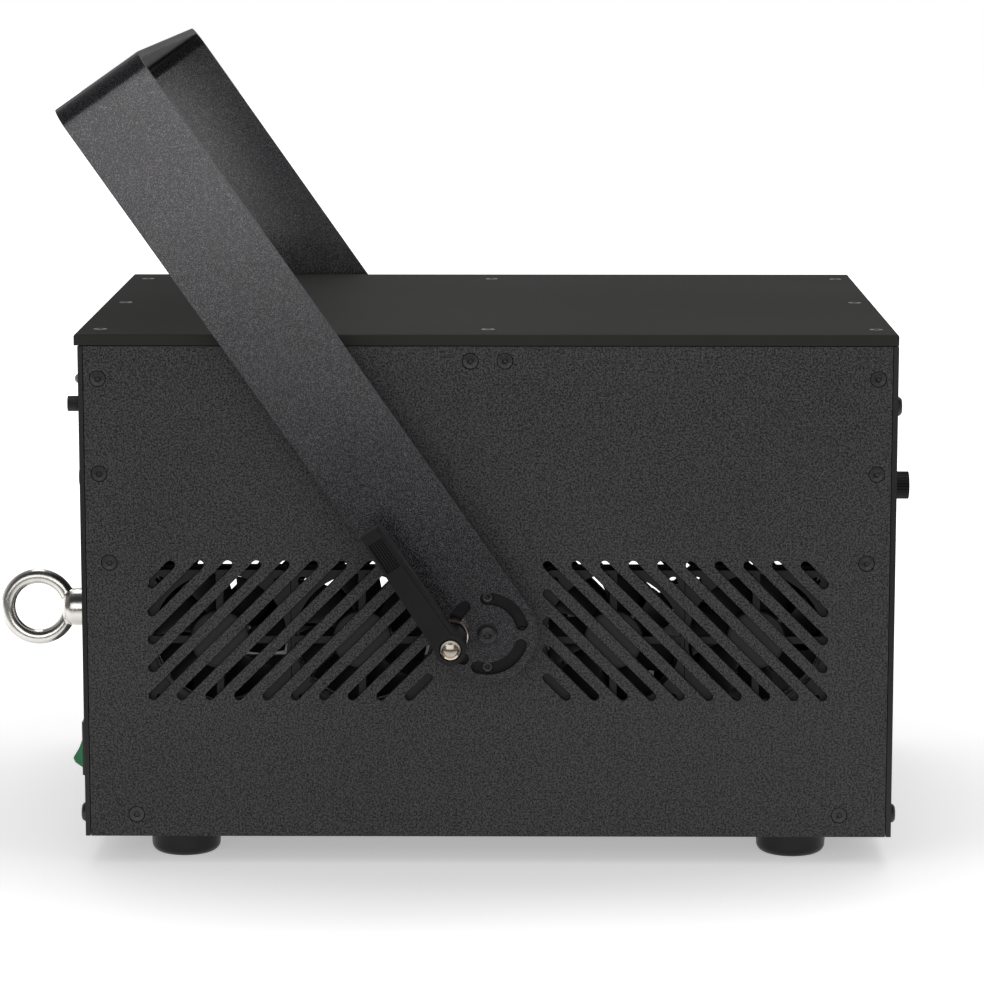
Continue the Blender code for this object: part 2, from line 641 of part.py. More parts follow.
def make_yoke():
    """The yoke: one bent strap whose arms turn on the pivot screws. It is built upright, then tilted."""
    half = YOKE_WIDTH / 2
    inner_bend = YOKE_BEND - YOKE_THICKNESS
    corner = (ARM_OUTER - YOKE_BEND, YOKE_REACH - YOKE_BEND)
    outside = circle(YOKE_BEND, 6, corner, 0, math.pi / 2)
    inside = circle(inner_bend, 6, corner, math.pi / 2, -math.pi / 2)
    bottom = -half - OVERRUN
    left = [(ARM_OUTER, bottom), *outside]
    left_inside = [*inside, (ARM_INNER, bottom)]
    outline = left + [(-a, b) for a, b in reversed(left)]
    outline += [(-a, b) for a, b in reversed(left_inside)] + left_inside
    shape = bmesh.new()
    prism(shape, outline, "X", -half - OVERRUN, half + OVERRUN)
    pivot = (0, 0, PIVOT_HEIGHT)
    yoke = part("yoke", POWDER, shape, place=pivot, turn=(0, -YOKE_TILT, 0))

    side_view = bmesh.new()
    beyond = ARM_OUTER + OVERRUN
    profile = circle(half, 14, (0, 0), math.pi, math.pi)
    profile += [(half, YOKE_REACH + OVERRUN), (-half, YOKE_REACH + OVERRUN)]
    prism(side_view, profile, "Y", -beyond, beyond)
    combine(yoke, side_view, "INTERSECT")

    cuts = bmesh.new()
    prism(cuts, circle(PIVOT_SHANK_RADIUS + GAP, 12), "Y", -beyond, beyond)
    stud_at_rest = STUD_ANGLE + YOKE_TILT
    clamp_span = (stud_at_rest - TILT_FORWARD, stud_at_rest + TILT_BACK)
    for span in (*ARC_SLOT_SPANS, clamp_span):
        prism(cuts, arc_slot(*span), "Y", -beyond, beyond)
    reach = YOKE_REACH - YOKE_THICKNESS - OVERRUN, YOKE_REACH + OVERRUN
    prism(cuts, circle(CLAMP_HOLE_RADIUS, 20), "Z", *reach)
    combine(yoke, cuts, "DIFFERENCE")


def make_clamp(side, hand):
    """One side's clamp: an insert through the arm's slot, a lever that lifts along it, and a screw."""
    at = (-SLOT_RING_RADIUS, 0, PIVOT_HEIGHT)
    stud_end = HALF_WIDTH - SIDE_WALL
    flange_start = ARM_OUTER + GAP
    neck_start = flange_start + INSERT_FLANGE_LENGTH
    core_start = neck_start + INSERT_NECK_LENGTH
    hub_start = core_start + GAP
    hub_end = hub_start + LEVER_HUB_LENGTH
    head_start = hub_end - CLAMP_SCREW_HEAD
    core_end = head_start - GAP
    bore = CLAMP_SCREW_SHANK + GAP
    bore_end = core_end - CLAMP_SCREW_LENGTH - GAP
    profile = [(0, stud_end), (STUD_RADIUS, stud_end), (STUD_RADIUS, flange_start)]
    profile += [(INSERT_FLANGE_RADIUS, flange_start), (INSERT_FLANGE_RADIUS, neck_start)]
    profile += [(INSERT_NECK_RADIUS, neck_start), (INSERT_NECK_RADIUS, core_start)]
    profile += [(INSERT_CORE_RADIUS, core_start), (INSERT_CORE_RADIUS, core_end)]
    profile += [(bore, core_end), (bore, bore_end), (0, bore_end)]
    shape = bmesh.new()
    turned(shape, profile, 16, "Y", at, side)
    origin = (at[0], side * flange_start, PIVOT_HEIGHT)
    part(f"{hand}_clamp_insert", CHROME, shape, origin=origin, smooth=True)

    shape = bmesh.new()
    rod(shape, LEVER_HUB_RADIUS, hub_start, hub_end, 20, "Y", (0, 0, 0), side)
    place = (at[0], side * hub_start, PIVOT_HEIGHT)
    origin = (0, side * hub_start, 0)
    turn = (0, -LEVER_ANGLE, 0)
    lever = part(f"{hand}_clamp_lever", BLACK_PLASTIC, shape, origin, place, turn, smooth=True)
    arm = bmesh.new()
    add_lever_arm(arm, side, hub_end)
    combine(lever, arm, "UNION", origin)
    cuts = bmesh.new()
    floor = head_start - LEVER_LIFT - LEVER_SPRING_SOLID
    rim = CLAMP_SCREW_RADIUS + GAP
    hole = INSERT_CORE_RADIUS + GAP
    profile = [(0, hub_start - OVERRUN), (hole, hub_start - OVERRUN), (hole, floor), (rim, floor)]
    profile += [(rim, hub_end + LEVER_TIP_RISE), (0, hub_end + LEVER_TIP_RISE)]
    turned(cuts, profile, 16, "Y", (0, 0, 0), side)
    combine(lever, cuts, "DIFFERENCE", origin)

    tip = core_end - CLAMP_SCREW_LENGTH
    profile = [(0, tip), (CLAMP_SCREW_SHANK, tip), (CLAMP_SCREW_SHANK, head_start)]
    profile += [(CLAMP_SCREW_RADIUS, head_start), (CLAMP_SCREW_RADIUS, hub_end), (0, hub_end + GAP)]
    shape = bmesh.new()
    turned(shape, profile, 16, "Y", at, side)
    origin = (at[0], side * head_start, PIVOT_HEIGHT)
    part(f"{hand}_clamp_screw", CHROME, shape, origin=origin, smooth=True)


def add_lever_arm(shape, side, hub_end):
    """Adds the lever's tapered arm, which points up from the hub and rises outwards to its tip."""
    stations = ((0.0, LEVER_WIDTH, hub_end), (LEVER_LENGTH, LEVER_TIP_WIDTH, hub_end + LEVER_TIP_RISE))
    rings = []
    for z, width, outer in stations:
        corners = rectangle(width, LEVER_DEPTH, (0, outer - LEVER_DEPTH / 2))
        rings.append([shape.verts.new((x, side * y, z)) for x, y in corners])
    close_ends(shape, *rings)


def make_lifting_eye():
    """The lifting eye on the rear panel, its ring seen from the side, and its nut inside."""
    y, z = rear_place(EYE_PLACE)
    ring_radius = EYE_HOLE_RADIUS + EYE_WIRE_RADIUS
    origin = (REAR_FACE, y, z)
    shape = bmesh.new()
    turned(shape, circle(EYE_WIRE_RADIUS, 10, (ring_radius, 0)), 30, "Y", (EYE_CENTRE_X, y, z))
    eye = part("lifting_eye", PLATED_STEEL, shape, origin=origin, smooth=True)
    stem = bmesh.new()
    seat = REAR_FACE - GAP
    tail = REAR_FACE + EYE_SHANK_LENGTH
    crown = seat - EYE_COLLAR_LENGTH
    profile = [(0, crown), (EYE_COLLAR_RADIUS - EDGE_CHAMFER, crown)]
    profile += [(EYE_COLLAR_RADIUS, crown + EDGE_CHAMFER), (EYE_COLLAR_RADIUS, seat)]
    profile += [(EYE_SHANK_RADIUS, seat), (EYE_SHANK_RADIUS, tail), (0, tail)]
    turned(stem, profile, 16, "X", (0, y, z))
    combine(eye, stem, "UNION", origin)
    nut_start = REAR_FACE + REAR_WALL + GAP
    nut_end = nut_start + EYE_NUT_HEIGHT
    shape = bmesh.new()
    prism(shape, circle(EYE_NUT_WIDTH / math.sqrt(3), 6, (y, z)), "X", nut_start, nut_end)
    origin = (nut_start, y, z)
    nut = part("lifting_eye_nut", PLATED_STEEL, shape, origin=origin)
    hole = bmesh.new()
    reach = nut_start - OVERRUN, nut_end + OVERRUN
    prism(hole, circle(EYE_SHANK_RADIUS + GAP, 12, (y, z)), "X", *reach)
    combine(nut, hole, "DIFFERENCE", origin)


def fan_centres():
    """Each fan's name and its centre across the side panel."""
    first = VENT_HALF_SPACING + FAN_SIZE / 2
    second = first + FAN_SIZE + GAP
    z = VENT_MIDDLE - FAN_DROP
    for name, x in (("1", -second), ("2", -first), ("3", first), ("4", second)):
        yield name, x, z


def make_fan(name, x, z):
    """One fan: a square frame with its motor plate and axle, and a bladed rotor that turns on the axle."""
    outer = -(HALF_WIDTH - SIDE_WALL - GAP)
    inner = outer + FAN_DEPTH
    plate = outer + FAN_PLATE
    origin = (x, outer, z)
    shape = bmesh.new()
    prism(shape, rectangle(FAN_SIZE, FAN_SIZE, (x, z)), "Y", outer, inner)
    frame = part(f"fan_frame_{name}", BLACK_PLASTIC, shape, origin=origin)
    bore = bmesh.new()
    prism(bore, circle(FAN_BORE / 2, 24, (x, z)), "Y", outer - OVERRUN, inner + OVERRUN)
    combine(frame, bore, "DIFFERENCE", origin)
    struts = bmesh.new()
    half = FAN_STRUT_WIDTH / 2
    reach = FAN_BORE / 2 + OVERRUN / 2
    cross = [(reach, -half), (reach, half), (half, half), (half, reach), (-half, reach), (-half, half)]
    cross += [(-a, -b) for a, b in cross]
    prism(struts, [(x + a, z + b) for a, b in cross], "Y", outer, plate)
    combine(frame, struts, "UNION", origin)
    axle = bmesh.new()
    start, end = plate + GAP, inner - GAP
    tip = end - FAN_HUB_WALL - GAP
    profile = [(0, outer), (FAN_HUB_RADIUS, outer), (FAN_HUB_RADIUS, plate), (FAN_PIN_RADIUS, plate)]
    profile += [(FAN_PIN_RADIUS, tip), (0, tip)]
    turned(axle, profile, 16, "Y", (x, 0, z))
    combine(frame, axle, "UNION", origin)

    hole = FAN_PIN_RADIUS + GAP
    origin = (x, start, z)
    shape = bmesh.new()
    cup = [(0, tip + GAP), (hole, tip + GAP), (hole, start)]
    cup += [(FAN_HUB_RADIUS, start), (FAN_HUB_RADIUS, end), (0, end)]
    turned(shape, cup, 14, "Y", (x, 0, z))
    rotor = part(f"fan_rotor_{name}", BLACK_PLASTIC, shape, origin=origin, smooth=True)
    blades = bmesh.new()
    for i in range(FAN_BLADES):
        add_blade(blades, x, z, (start + end) / 2, 2 * math.pi * i / FAN_BLADES)
    combine(rotor, blades, "UNION", origin)


def add_blade(shape, x, z, middle, angle):
    """Adds one straight blade, pitched about its own length."""
    root, tip = FAN_HUB_RADIUS - OVERRUN / 2, FAN_BORE / 2 - FAN_TIP_GAP
    along = Vector((math.cos(angle), 0, math.sin(angle)))
    round_hub = Vector((-math.sin(angle), 0, math.cos(angle)))
    chord = round_hub * math.cos(FAN_BLADE_PITCH) + Vector((0, 1, 0)) * math.sin(FAN_BLADE_PITCH)
    normal = along.cross(chord)
    centre = Vector((x, middle, z))
    half, wall = FAN_BLADE_WIDTH / 2, FAN_BLADE_WALL / 2
    corners = [chord * a + normal * b for a, b in rectangle(2 * half, 2 * wall)]
    inner = [shape.verts.new(centre + along * root + corner) for corner in corners]
    outer = [shape.verts.new(centre + along * tip + corner) for corner in corners]
    close_ends(shape, inner, outer)


def make_power_switch():
    """The rocker switch: a bezel that snaps into the rear panel, and the rocker in its pocket."""
    y, z = rear_place(SWITCH_PLACE)
    origin = (REAR_FACE, y, z)
    face = REAR_FACE - GAP
    shape = bmesh.new()
    prism(shape, rectangle(SWITCH_WIDTH, SWITCH_HEIGHT, (y, z)), "X", face - SWITCH_FLANGE, face)
    bezel = part("switch_bezel", BLACK_PLASTIC, shape, origin=origin)
    body = bmesh.new()
    outline = rectangle(*switch_body(), (y, z))
    prism(body, outline, "X", face - SWITCH_FLANGE / 2, face + SWITCH_DEPTH)
    combine(bezel, body, "UNION", origin)
    pocket = bmesh.new()
    pocket_height = SWITCH_HEIGHT - 2 * SWITCH_RIM + 2 * GAP
    outline = rectangle(ROCKER_WIDTH + 2 * GAP, pocket_height, (y, z))
    floor = face + SWITCH_DEPTH - SWITCH_RIM
    prism(pocket, outline, "X", face - SWITCH_FLANGE - OVERRUN, floor)
    combine(bezel, pocket, "DIFFERENCE", origin)

    pivot_x = REAR_FACE + ROCKER_PIVOT_DEPTH
    high = pocket_height / 2 - ROCKER_END_GAP
    outline = [(ROCKER_BACK, -high), *((-proud, share * high) for proud, share in ROCKER_FACE)]
    outline.append((ROCKER_BACK, high))
    shape = bmesh.new()
    half = ROCKER_WIDTH / 2
    prism(shape, [(pivot_x + a, z + b) for a, b in outline], "Y", y - half, y + half)
    part("power_rocker", GREEN_PLASTIC, shape, origin=(pivot_x, y, z))


def make_level_knob():
    """The small knurled knob at the rear panel's upper corner, on its shaft."""
    y, z = rear_place(KNOB_PLACE)
    shape = bmesh.new()
    seat = REAR_FACE - GAP
    end = seat - KNOB_LENGTH
    tail = REAR_FACE + KNOB_SHAFT_LENGTH
    profile = [(0, end), (KNOB_RADIUS - EDGE_CHAMFER, end), (KNOB_RADIUS, end + EDGE_CHAMFER)]
    profile.append((KNOB_RADIUS, seat))
    profile += [(KNOB_SHAFT_RADIUS, seat), (KNOB_SHAFT_RADIUS, tail), (0, tail)]
    turned(shape, profile, 14, "X", (0, y, z))
    part("level_knob", BLACK_PLASTIC, shape, origin=(seat, y, z), smooth=True)


def make_power_inlet():
    """The mains inlet: a flanged box with three blades at the bottom of its recess."""
    y, z = rear_place(INLET_PLACE)
    seat = REAR_FACE - GAP
    origin = (REAR_FACE, y, z)
    shape = bmesh.new()
    prism(shape, rectangle(INLET_FLANGE[0], INLET_FLANGE[1], (y, z)), "X", seat - INLET_FLANGE[2], seat)
    inlet = part("power_inlet", BLACK_PLASTIC, shape, origin=origin)
    body = bmesh.new()
    end = seat + INLET_BODY[2]
    prism(body, rectangle(INLET_BODY[0], INLET_BODY[1], (y, z)), "X", seat - INLET_FLANGE[2] / 2, end)
    combine(inlet, body, "UNION", origin)
    recess = bmesh.new()
    width, height = INLET_BODY[0] - 2 * INLET_WALL, INLET_BODY[1] - 2 * INLET_WALL
    floor = end - INLET_WALL
    cant = height / 4
    outline = [(-width / 2, -height / 2 + cant), (-width / 2 + cant, -height / 2)]
    outline += [(width / 2 - cant, -height / 2), (width / 2, -height / 2 + cant)]
    outline += [(width / 2, height / 2), (-width / 2, height / 2)]
    placed = [(y + a, z + b) for a, b in outline]
    prism(recess, placed, "X", seat - INLET_FLANGE[2] - OVERRUN, floor)
    combine(inlet, recess, "DIFFERENCE", origin)
    blades = bmesh.new()
    blade_width, blade_height, blade_length = BLADE_SIZE
    for across, rise in ((-BLADE_PITCH, -BLADE_STEP), (0, BLADE_STEP), (BLADE_PITCH, -BLADE_STEP)):
        outline = rectangle(blade_width, blade_height, (y + across, z + rise))
        prism(blades, outline, "X", floor - blade_length, floor + INLET_WALL / 2)
    combine(inlet, blades, "UNION", origin)


def pin_places(y, z):
    """The centres of a three-pin connector's pins."""
    for angle in (math.radians(20), math.radians(160), math.radians(270)):
        yield y + PIN_CIRCLE * math.cos(angle), z + PIN_CIRCLE * math.sin(angle)


def make_dmx_socket(name, place, has_pins):
    """A round three-pole connector on a square flange: a cup with pins, or a face with three holes."""
    y, z = rear_place(place)
    seat = REAR_FACE - GAP
    outer = seat - DMX_FLANGE[2]
    end = seat + DMX_BODY_DEPTH
    origin = (REAR_FACE, y, z)
    shape = bmesh.new()
    prism(shape, rectangle(DMX_FLANGE[0], DMX_FLANGE[1], (y, z)), "X", outer, seat)
    socket = part(name, BLACK_STEEL, shape, origin=origin)
    body = bmesh.new()
    rod(body, DMX_BODY_RADIUS, seat - DMX_FLANGE[2] / 2, end, 20, "X", (0, y, z))
    combine(socket, body, "UNION", origin)
    cuts = bmesh.new()
    if not has_pins:
        for centre in pin_places(y, z):
            prism(cuts, circle(PIN_RADIUS + GAP, 6, centre), "X", outer - OVERRUN, outer + PIN_LENGTH)
        combine(socket, cuts, "DIFFERENCE", origin)
        return
    floor = outer + DMX_BORE_DEPTH
    rod(cuts, DMX_BORE_RADIUS, outer - OVERRUN, floor, 16, "X", (0, y, z))
    combine(socket, cuts, "DIFFERENCE", origin)
    pins = bmesh.new()
    for centre in pin_places(y, z):
        prism(pins, circle(PIN_RADIUS, 6, centre), "X", floor - PIN_LENGTH, floor + OVERRUN / 2)
    combine(socket, pins, "UNION", origin)


def make_signal_port():
    """The show signal's wide port: a flange with a D-shaped shell."""
    y, z = rear_place(SIGNAL_PLACE)
    seat = REAR_FACE - GAP
    origin = (REAR_FACE, y, z)
    shape = bmesh.new()
    prism(shape, rectangle(SIGNAL_FLANGE[0], SIGNAL_FLANGE[1], (y, z)), "X", seat - SIGNAL_FLANGE[2], seat)
    port = part("signal_port", PLATED_STEEL, shape, origin=origin)
    shell = bmesh.new()
    half, high = SIGNAL_SHELL[0] / 2, SIGNAL_SHELL[1] / 2
    narrow = half - high / 2
    outline = [(y - narrow, z - high), (y + narrow, z - high), (y + half, z + high), (y - half, z + high)]
    prism(shell, outline, "X", seat - SIGNAL_SHELL[2], seat + SIGNAL_SHELL[2])
    combine(port, shell, "UNION", origin)


def make_network_port():
    """The network port: a small housing with a recess for the plug."""
    y, z = rear_place(NETWORK_PLACE)
    seat = REAR_FACE - GAP
    outer = seat - NETWORK_FACE[2]
    origin = (REAR_FACE, y, z)
    shape = bmesh.new()
    prism(shape, rectangle(NETWORK_FACE[0], NETWORK_FACE[1], (y, z)), "X", outer, seat)
    port = part("network_port", BLACK_PLASTIC, shape, origin=origin)
    body = bmesh.new()
    end = seat + NETWORK_BODY[2]
    prism(body, rectangle(NETWORK_BODY[0], NETWORK_BODY[1], (y, z)), "X", seat - NETWORK_FACE[2] / 2, end)
    combine(port, body, "UNION", origin)
    recess = bmesh.new()
    outline = rectangle(NETWORK_CAVITY[0], NETWORK_CAVITY[1], (y, z))
    prism(recess, outline, "X", outer - OVERRUN, outer + NETWORK_CAVITY[2])
    combine(port, recess, "DIFFERENCE", origin)


def make_display():
    """The display and its sprung menu buttons."""
    y, z = rear_place(DISPLAY_PLACE)
    seat = REAR_FACE - GAP
    origin = (REAR_FACE, y, z)
    shape = bmesh.new()
    prism(shape, rectangle(DISPLAY_FRAME[0], DISPLAY_FRAME[1], (y, z)), "X", seat - DISPLAY_FRAME[2], seat)
    display = part("display_module", BLACK_PLASTIC, shape, origin=origin)
    body = bmesh.new()
    outline = rectangle(DISPLAY_BODY[0], DISPLAY_BODY[1], (y, z))
    prism(body, outline, "X", seat - DISPLAY_FRAME[2] / 2, seat + DISPLAY_BODY[2])
    combine(display, body, "UNION", origin)
    back = REAR_FACE + REAR_WALL + GAP
    front = REAR_FACE - BUTTON_PROUD
    profile = [(0, front), (BUTTON_RADIUS - EDGE_CHAMFER, front)]
    profile += [(BUTTON_RADIUS, front + EDGE_CHAMFER), (BUTTON_RADIUS, back)]
    profile += [(BUTTON_FLANGE_RADIUS, back), (BUTTON_FLANGE_RADIUS, back + BUTTON_FLANGE)]
    profile += [(0, back + BUTTON_FLANGE)]
    for number, (y, z) in enumerate(button_places(), start=1):
        shape = bmesh.new()
        turned(shape, profile, 12, "X", (0, y, z))
        part(f"menu_button_{number}", BLACK_PLASTIC, shape, origin=(front, y, z), smooth=True)


def make_key_switch():
    """The key switch: a round barrel through the rear panel, and the key in it."""
    y, z = rear_place(KEY_PLACE)
    seat = REAR_FACE - GAP
    head = seat - KEY_HEAD_LENGTH
    tail = seat + KEY_BARREL_LENGTH
    hole = KEY_STEM_RADIUS + GAP
    floor = head + KEY_STEM_DEPTH + GAP
    profile = [(0, floor), (hole, floor), (hole, head), (KEY_HEAD_RADIUS - EDGE_CHAMFER, head)]
    profile += [(KEY_HEAD_RADIUS, head + EDGE_CHAMFER), (KEY_HEAD_RADIUS, seat)]
    profile += [(KEY_BARREL_RADIUS, seat), (KEY_BARREL_RADIUS, tail), (0, tail)]
    shape = bmesh.new()
    turned(shape, profile, 16, "X", (0, y, z))
    part("key_switch_barrel", PLATED_STEEL, shape, origin=(seat, y, z), smooth=True)
    shape = bmesh.new()
    shoulder = head - GAP - KEY_SHOULDER
    rod(shape, KEY_STEM_RADIUS, shoulder, head + KEY_STEM_DEPTH, 10, "X", (0, y, z))
    origin = (head, y, z)
    key = part("key", CHROME, shape, origin=origin, smooth=True)
    bow = bmesh.new()
    thick, high, deep = KEY_BOW
    cant = high / 4
    start = head - GAP
    upper = [(start, high / 2 - cant), (start - cant, high / 2)]
    upper += [(start - deep + cant, high / 2), (start - deep, high / 2 - cant)]
    outline = upper + [(x, -rise) for x, rise in reversed(upper)]
    prism(bow, [(x, z + rise) for x, rise in outline], "Y", y - thick / 2, y + thick / 2)
    combine(key, bow, "UNION", origin)


def mask_screw_places():
    """The centres of the mask's two thumb screws."""
    z = UNDERSIDE + MASK_SCREW_RISE
    return (-MASK_SCREW_SPACING / 2, z), (MASK_SCREW_SPACING / 2, z)


def make_aperture():
    """The exit window behind the front panel, and the mask that slides over it under two thumb screws."""
    glass_front = HALF_LENGTH
    glass_back = glass_front - GLASS_THICKNESS
    outline = rectangle(WINDOW_WIDTH + 2 * GLASS_LAP, WINDOW_HEIGHT + 2 * GLASS_LAP, (0, BEAM_Z))
    shape = bmesh.new()
    prism(shape, outline, "X", glass_back, glass_front)
    part("exit_window", GLASS, shape, origin=(glass_front, 0, BEAM_Z))

    back = FRONT_FACE + GAP
    front = back + MASK_THICKNESS
    places = mask_screw_places()
    screw_z = places[0][1]
    slot_half = MASK_SCREW_SHANK + GAP
    bottom = BEAM_Z + WINDOW_HEIGHT / 2 + MASK_LIFT
    slot_top = screw_z + MASK_TRAVEL
    top = slot_top + slot_half + MASK_MARGIN
    shape = bmesh.new()
    box(shape, (back, -MASK_WIDTH / 2, bottom), (front, MASK_WIDTH / 2, top))
    origin = (back, 0, bottom)
    mask = part("aperture_mask", POWDER, shape, origin=origin)
    cuts = bmesh.new()
    for y, z in places:
        slot = circle(slot_half, 6, (y, slot_top), 0, math.pi)
        slot += circle(slot_half, 6, (y, z), math.pi, math.pi)
        prism(cuts, slot, "X", back - OVERRUN, front + OVERRUN)
    combine(mask, cuts, "DIFFERENCE", origin)

    seat = front + GAP
    knob = seat + THUMB_SHOULDER
    end = knob + THUMB_LENGTH
    tail = HALF_LENGTH - THUMB_TAIL
    profile = [(0, tail), (MASK_SCREW_SHANK, tail), (MASK_SCREW_SHANK, seat), (THUMB_SHOULDER_RADIUS, seat)]
    profile += [(THUMB_SHOULDER_RADIUS, knob), (THUMB_RADIUS, knob), (THUMB_RADIUS, end - EDGE_CHAMFER)]
    profile += [(THUMB_RADIUS - EDGE_CHAMFER, end), (0, end)]
    for name, (y, z) in zip(("right_thumb_screw", "left_thumb_screw"), places):
        shape = bmesh.new()
        turned(shape, profile, 16, "X", (0, y, z))
        part(name, BLACK_STEEL, shape, origin=(seat, y, z), smooth=True)


def optics_frame():
    """The optical plate's rear end, its right edge and its top."""
    rear = HALF_LENGTH - OPTICS_FRONT_GAP - OPTICS_LENGTH
    right = -(INNER_WIDTH - FAN_DEPTH) + LASER_FAN_GAP
    top = FLOOR_TOP + GAP + OPTICS_RISE
    return rear, right, top


def make_optics():
    """The optical plate on its legs, three lasers, the mirrors that join their beams, and the scanner."""
    rear, right, top = optics_frame()
    front, left = rear + OPTICS_LENGTH, right + OPTICS_WIDTH
    shape = bmesh.new()
    box(shape, (rear, right, top - OPTICS_PLATE), (front, left, top))
    origin = (rear, right, top)
    plate = part("optical_plate", ALUMINIUM, shape, origin=origin)
    legs = bmesh.new()
    low = FLOOR_TOP + GAP
    for x in (rear, front - OPTICS_LEG):
        for y in (right, left - OPTICS_LEG):
            box(legs, (x, y, low), (x + OPTICS_LEG, y + OPTICS_LEG, top - OPTICS_PLATE / 2))
    combine(plate, legs, "UNION", origin)
    laser_back = rear + LASER_START
    first = -(INNER_WIDTH - FAN_DEPTH) + LASER_FAN_GAP + LASER_WIDTH / 2
    beams = [first + LASER_PITCH * place for place in range(3)]
    for name, y in zip(("blue_laser", "green_laser", "red_laser"), beams):
        make_laser(name, laser_back, y, top + GAP)
    make_mirror_rail(rear + MIRROR_DISTANCE, beams, top + GAP)
    make_scanner(rear + SCANNER_DISTANCE, top + GAP)


def make_laser(name, back, y, bottom):
    """One laser module: a block with a short beam tube."""
    half = LASER_WIDTH / 2
    shape = bmesh.new()
    front = back + LASER_LENGTH
    box(shape, (back, y - half, bottom), (front, y + half, bottom + LASER_HEIGHT))
    origin = (back, y, bottom)
    laser = part(name, ALUMINIUM, shape, origin=origin)
    tube = bmesh.new()
    rod(tube, LASER_APERTURE, front - OVERRUN, front + LASER_APERTURE, 10, "X", (0, y, BEAM_Z))
    combine(laser, tube, "UNION", origin)


def make_mirror_rail(x, beams, bottom):
    """The rail with one slanted mirror for each beam and one that turns the joined beam forward."""
    shape = bmesh.new()
    half = MIRROR_RAIL / 2
    margin = MIRROR_SIZE / 2
    low_y, high_y = beams[0] - margin, margin
    rail_top = bottom + RAIL_THICKNESS
    box(shape, (x - half, low_y, bottom), (x + half, high_y, rail_top))
    origin = (x, 0, bottom)
    rail = part("mirror_rail", BLACK_STEEL, shape, origin=origin)
    mirrors = bmesh.new()
    reach, wall = MIRROR_SIZE / 2 / math.sqrt(2), MIRROR_WALL / 2 / math.sqrt(2)
    outline = [(-reach - wall, -reach + wall), (-reach + wall, -reach - wall)]
    outline += [(reach + wall, reach - wall), (reach - wall, reach + wall)]
    for y in (*beams, 0.0):
        placed = [(x + a, y + b) for a, b in outline]
        prism(mirrors, placed, "Z", rail_top - RAIL_THICKNESS / 2, BEAM_Z + MIRROR_SIZE / 2)
    combine(rail, mirrors, "UNION", origin)


def make_scanner(x, bottom):
    """The scanner block, which holds two galvo motors, and a mirror on each motor's shaft."""
    half = SCANNER_BASE / 2
    flat_x = x - half / 2
    upright_x = flat_x + GALVO_SPACING
    hole = GALVO_SHAFT_RADIUS + GAP
    flat_y = GALVO_MIRROR_LENGTH / 2 + GALVO_END_GAP
    vertical_top = BEAM_Z - flat_y
    origin = (x, 0, bottom)
    shape = bmesh.new()
    box(shape, (x - half, -half, bottom), (x + half, half, vertical_top - OVERRUN))
    scanner = part("scanner_block", ALUMINIUM, shape, origin=origin)
    wall = bmesh.new()
    box(wall, (x - half, flat_y + OVERRUN, bottom + OVERRUN), (x, half, BEAM_Z + GALVO_RADIUS + OVERRUN))
    combine(scanner, wall, "UNION", origin)
    motor = bmesh.new()
    rod(motor, GALVO_RADIUS, flat_y, flat_y + GALVO_LENGTH, 14, "Y", (flat_x, 0, BEAM_Z))
    combine(scanner, motor, "UNION", origin)
    motor = bmesh.new()
    rod(motor, GALVO_RADIUS, bottom + OVERRUN, vertical_top, 14, "Z", (upright_x, 0, 0))
    combine(scanner, motor, "UNION", origin)
    holes = bmesh.new()
    prism(holes, circle(hole, 8, (flat_x, BEAM_Z)), "Y", flat_y - OVERRUN, flat_y + GALVO_BORE_DEPTH)
    outline = circle(hole, 8, (upright_x, 0))
    prism(holes, outline, "Z", vertical_top - GALVO_BORE_DEPTH, vertical_top + OVERRUN)
    combine(scanner, holes, "DIFFERENCE", origin)
    make_galvo_mirror("horizontal_scan_mirror", (flat_x, 0, BEAM_Z), "Y", 1)
    make_galvo_mirror("vertical_scan_mirror", (upright_x, 0, BEAM_Z), "Z", -1)


def make_galvo_mirror(name, centre, axis, facing):
    """A small slanted mirror on a thin shaft that goes into its motor."""
    half = GALVO_MIRROR_LENGTH / 2
    shape = bmesh.new()
    lean = math.cos(math.pi / 4)
    corners = rectangle(GALVO_MIRROR_WIDTH, GALVO_MIRROR_WALL)
    outline = [(lean * (a - b), lean * (a + b)) for a, b in corners]
    prism(shape, outline, axis, -half, half)
    mirror = part(name, CHROME, shape, place=centre)
    shaft = bmesh.new()
    reach = half + GALVO_END_GAP + GALVO_BORE_DEPTH - GAP
    rod(shaft, GALVO_SHAFT_RADIUS, half - OVERRUN, reach, 8, axis, (0, 0, 0), facing)
    combine(mirror, shaft, "UNION")


def make_electronics():
    """The power supply and the control board, both on the base plate."""
    length, width, height = SUPPLY_SIZE
    rear = -HALF_LENGTH + SUPPLY_REAR_GAP
    left = INNER_WIDTH - BASE_WALL - SUPPLY_EDGE
    low = FLOOR_TOP + GAP
    shape = bmesh.new()
    box(shape, (rear, left - width, low), (rear + length, left, low + height))
    part("power_supply", ALUMINIUM, shape, origin=(rear, left, low))

    length, width, thick = BOARD_SIZE
    rear = optics_frame()[0] - BOARD_OPTICS_GAP - length
    right = -HALF_WIDTH + BOARD_RIGHT_GAP
    top = low + BOARD_POST_HEIGHT
    origin = (rear, right, low)
    shape = bmesh.new()
    box(shape, (rear, right, top), (rear + length, right + width, top + thick))
    board = part("control_board", BOARD_GREEN, shape, origin=origin)
    posts = bmesh.new()
    for x in (rear, rear + length - BOARD_POST):
        for y in (right, right + width - BOARD_POST):
            box(posts, (x, y, low), (x + BOARD_POST, y + BOARD_POST, top + thick / 2))
    combine(board, posts, "UNION", origin)


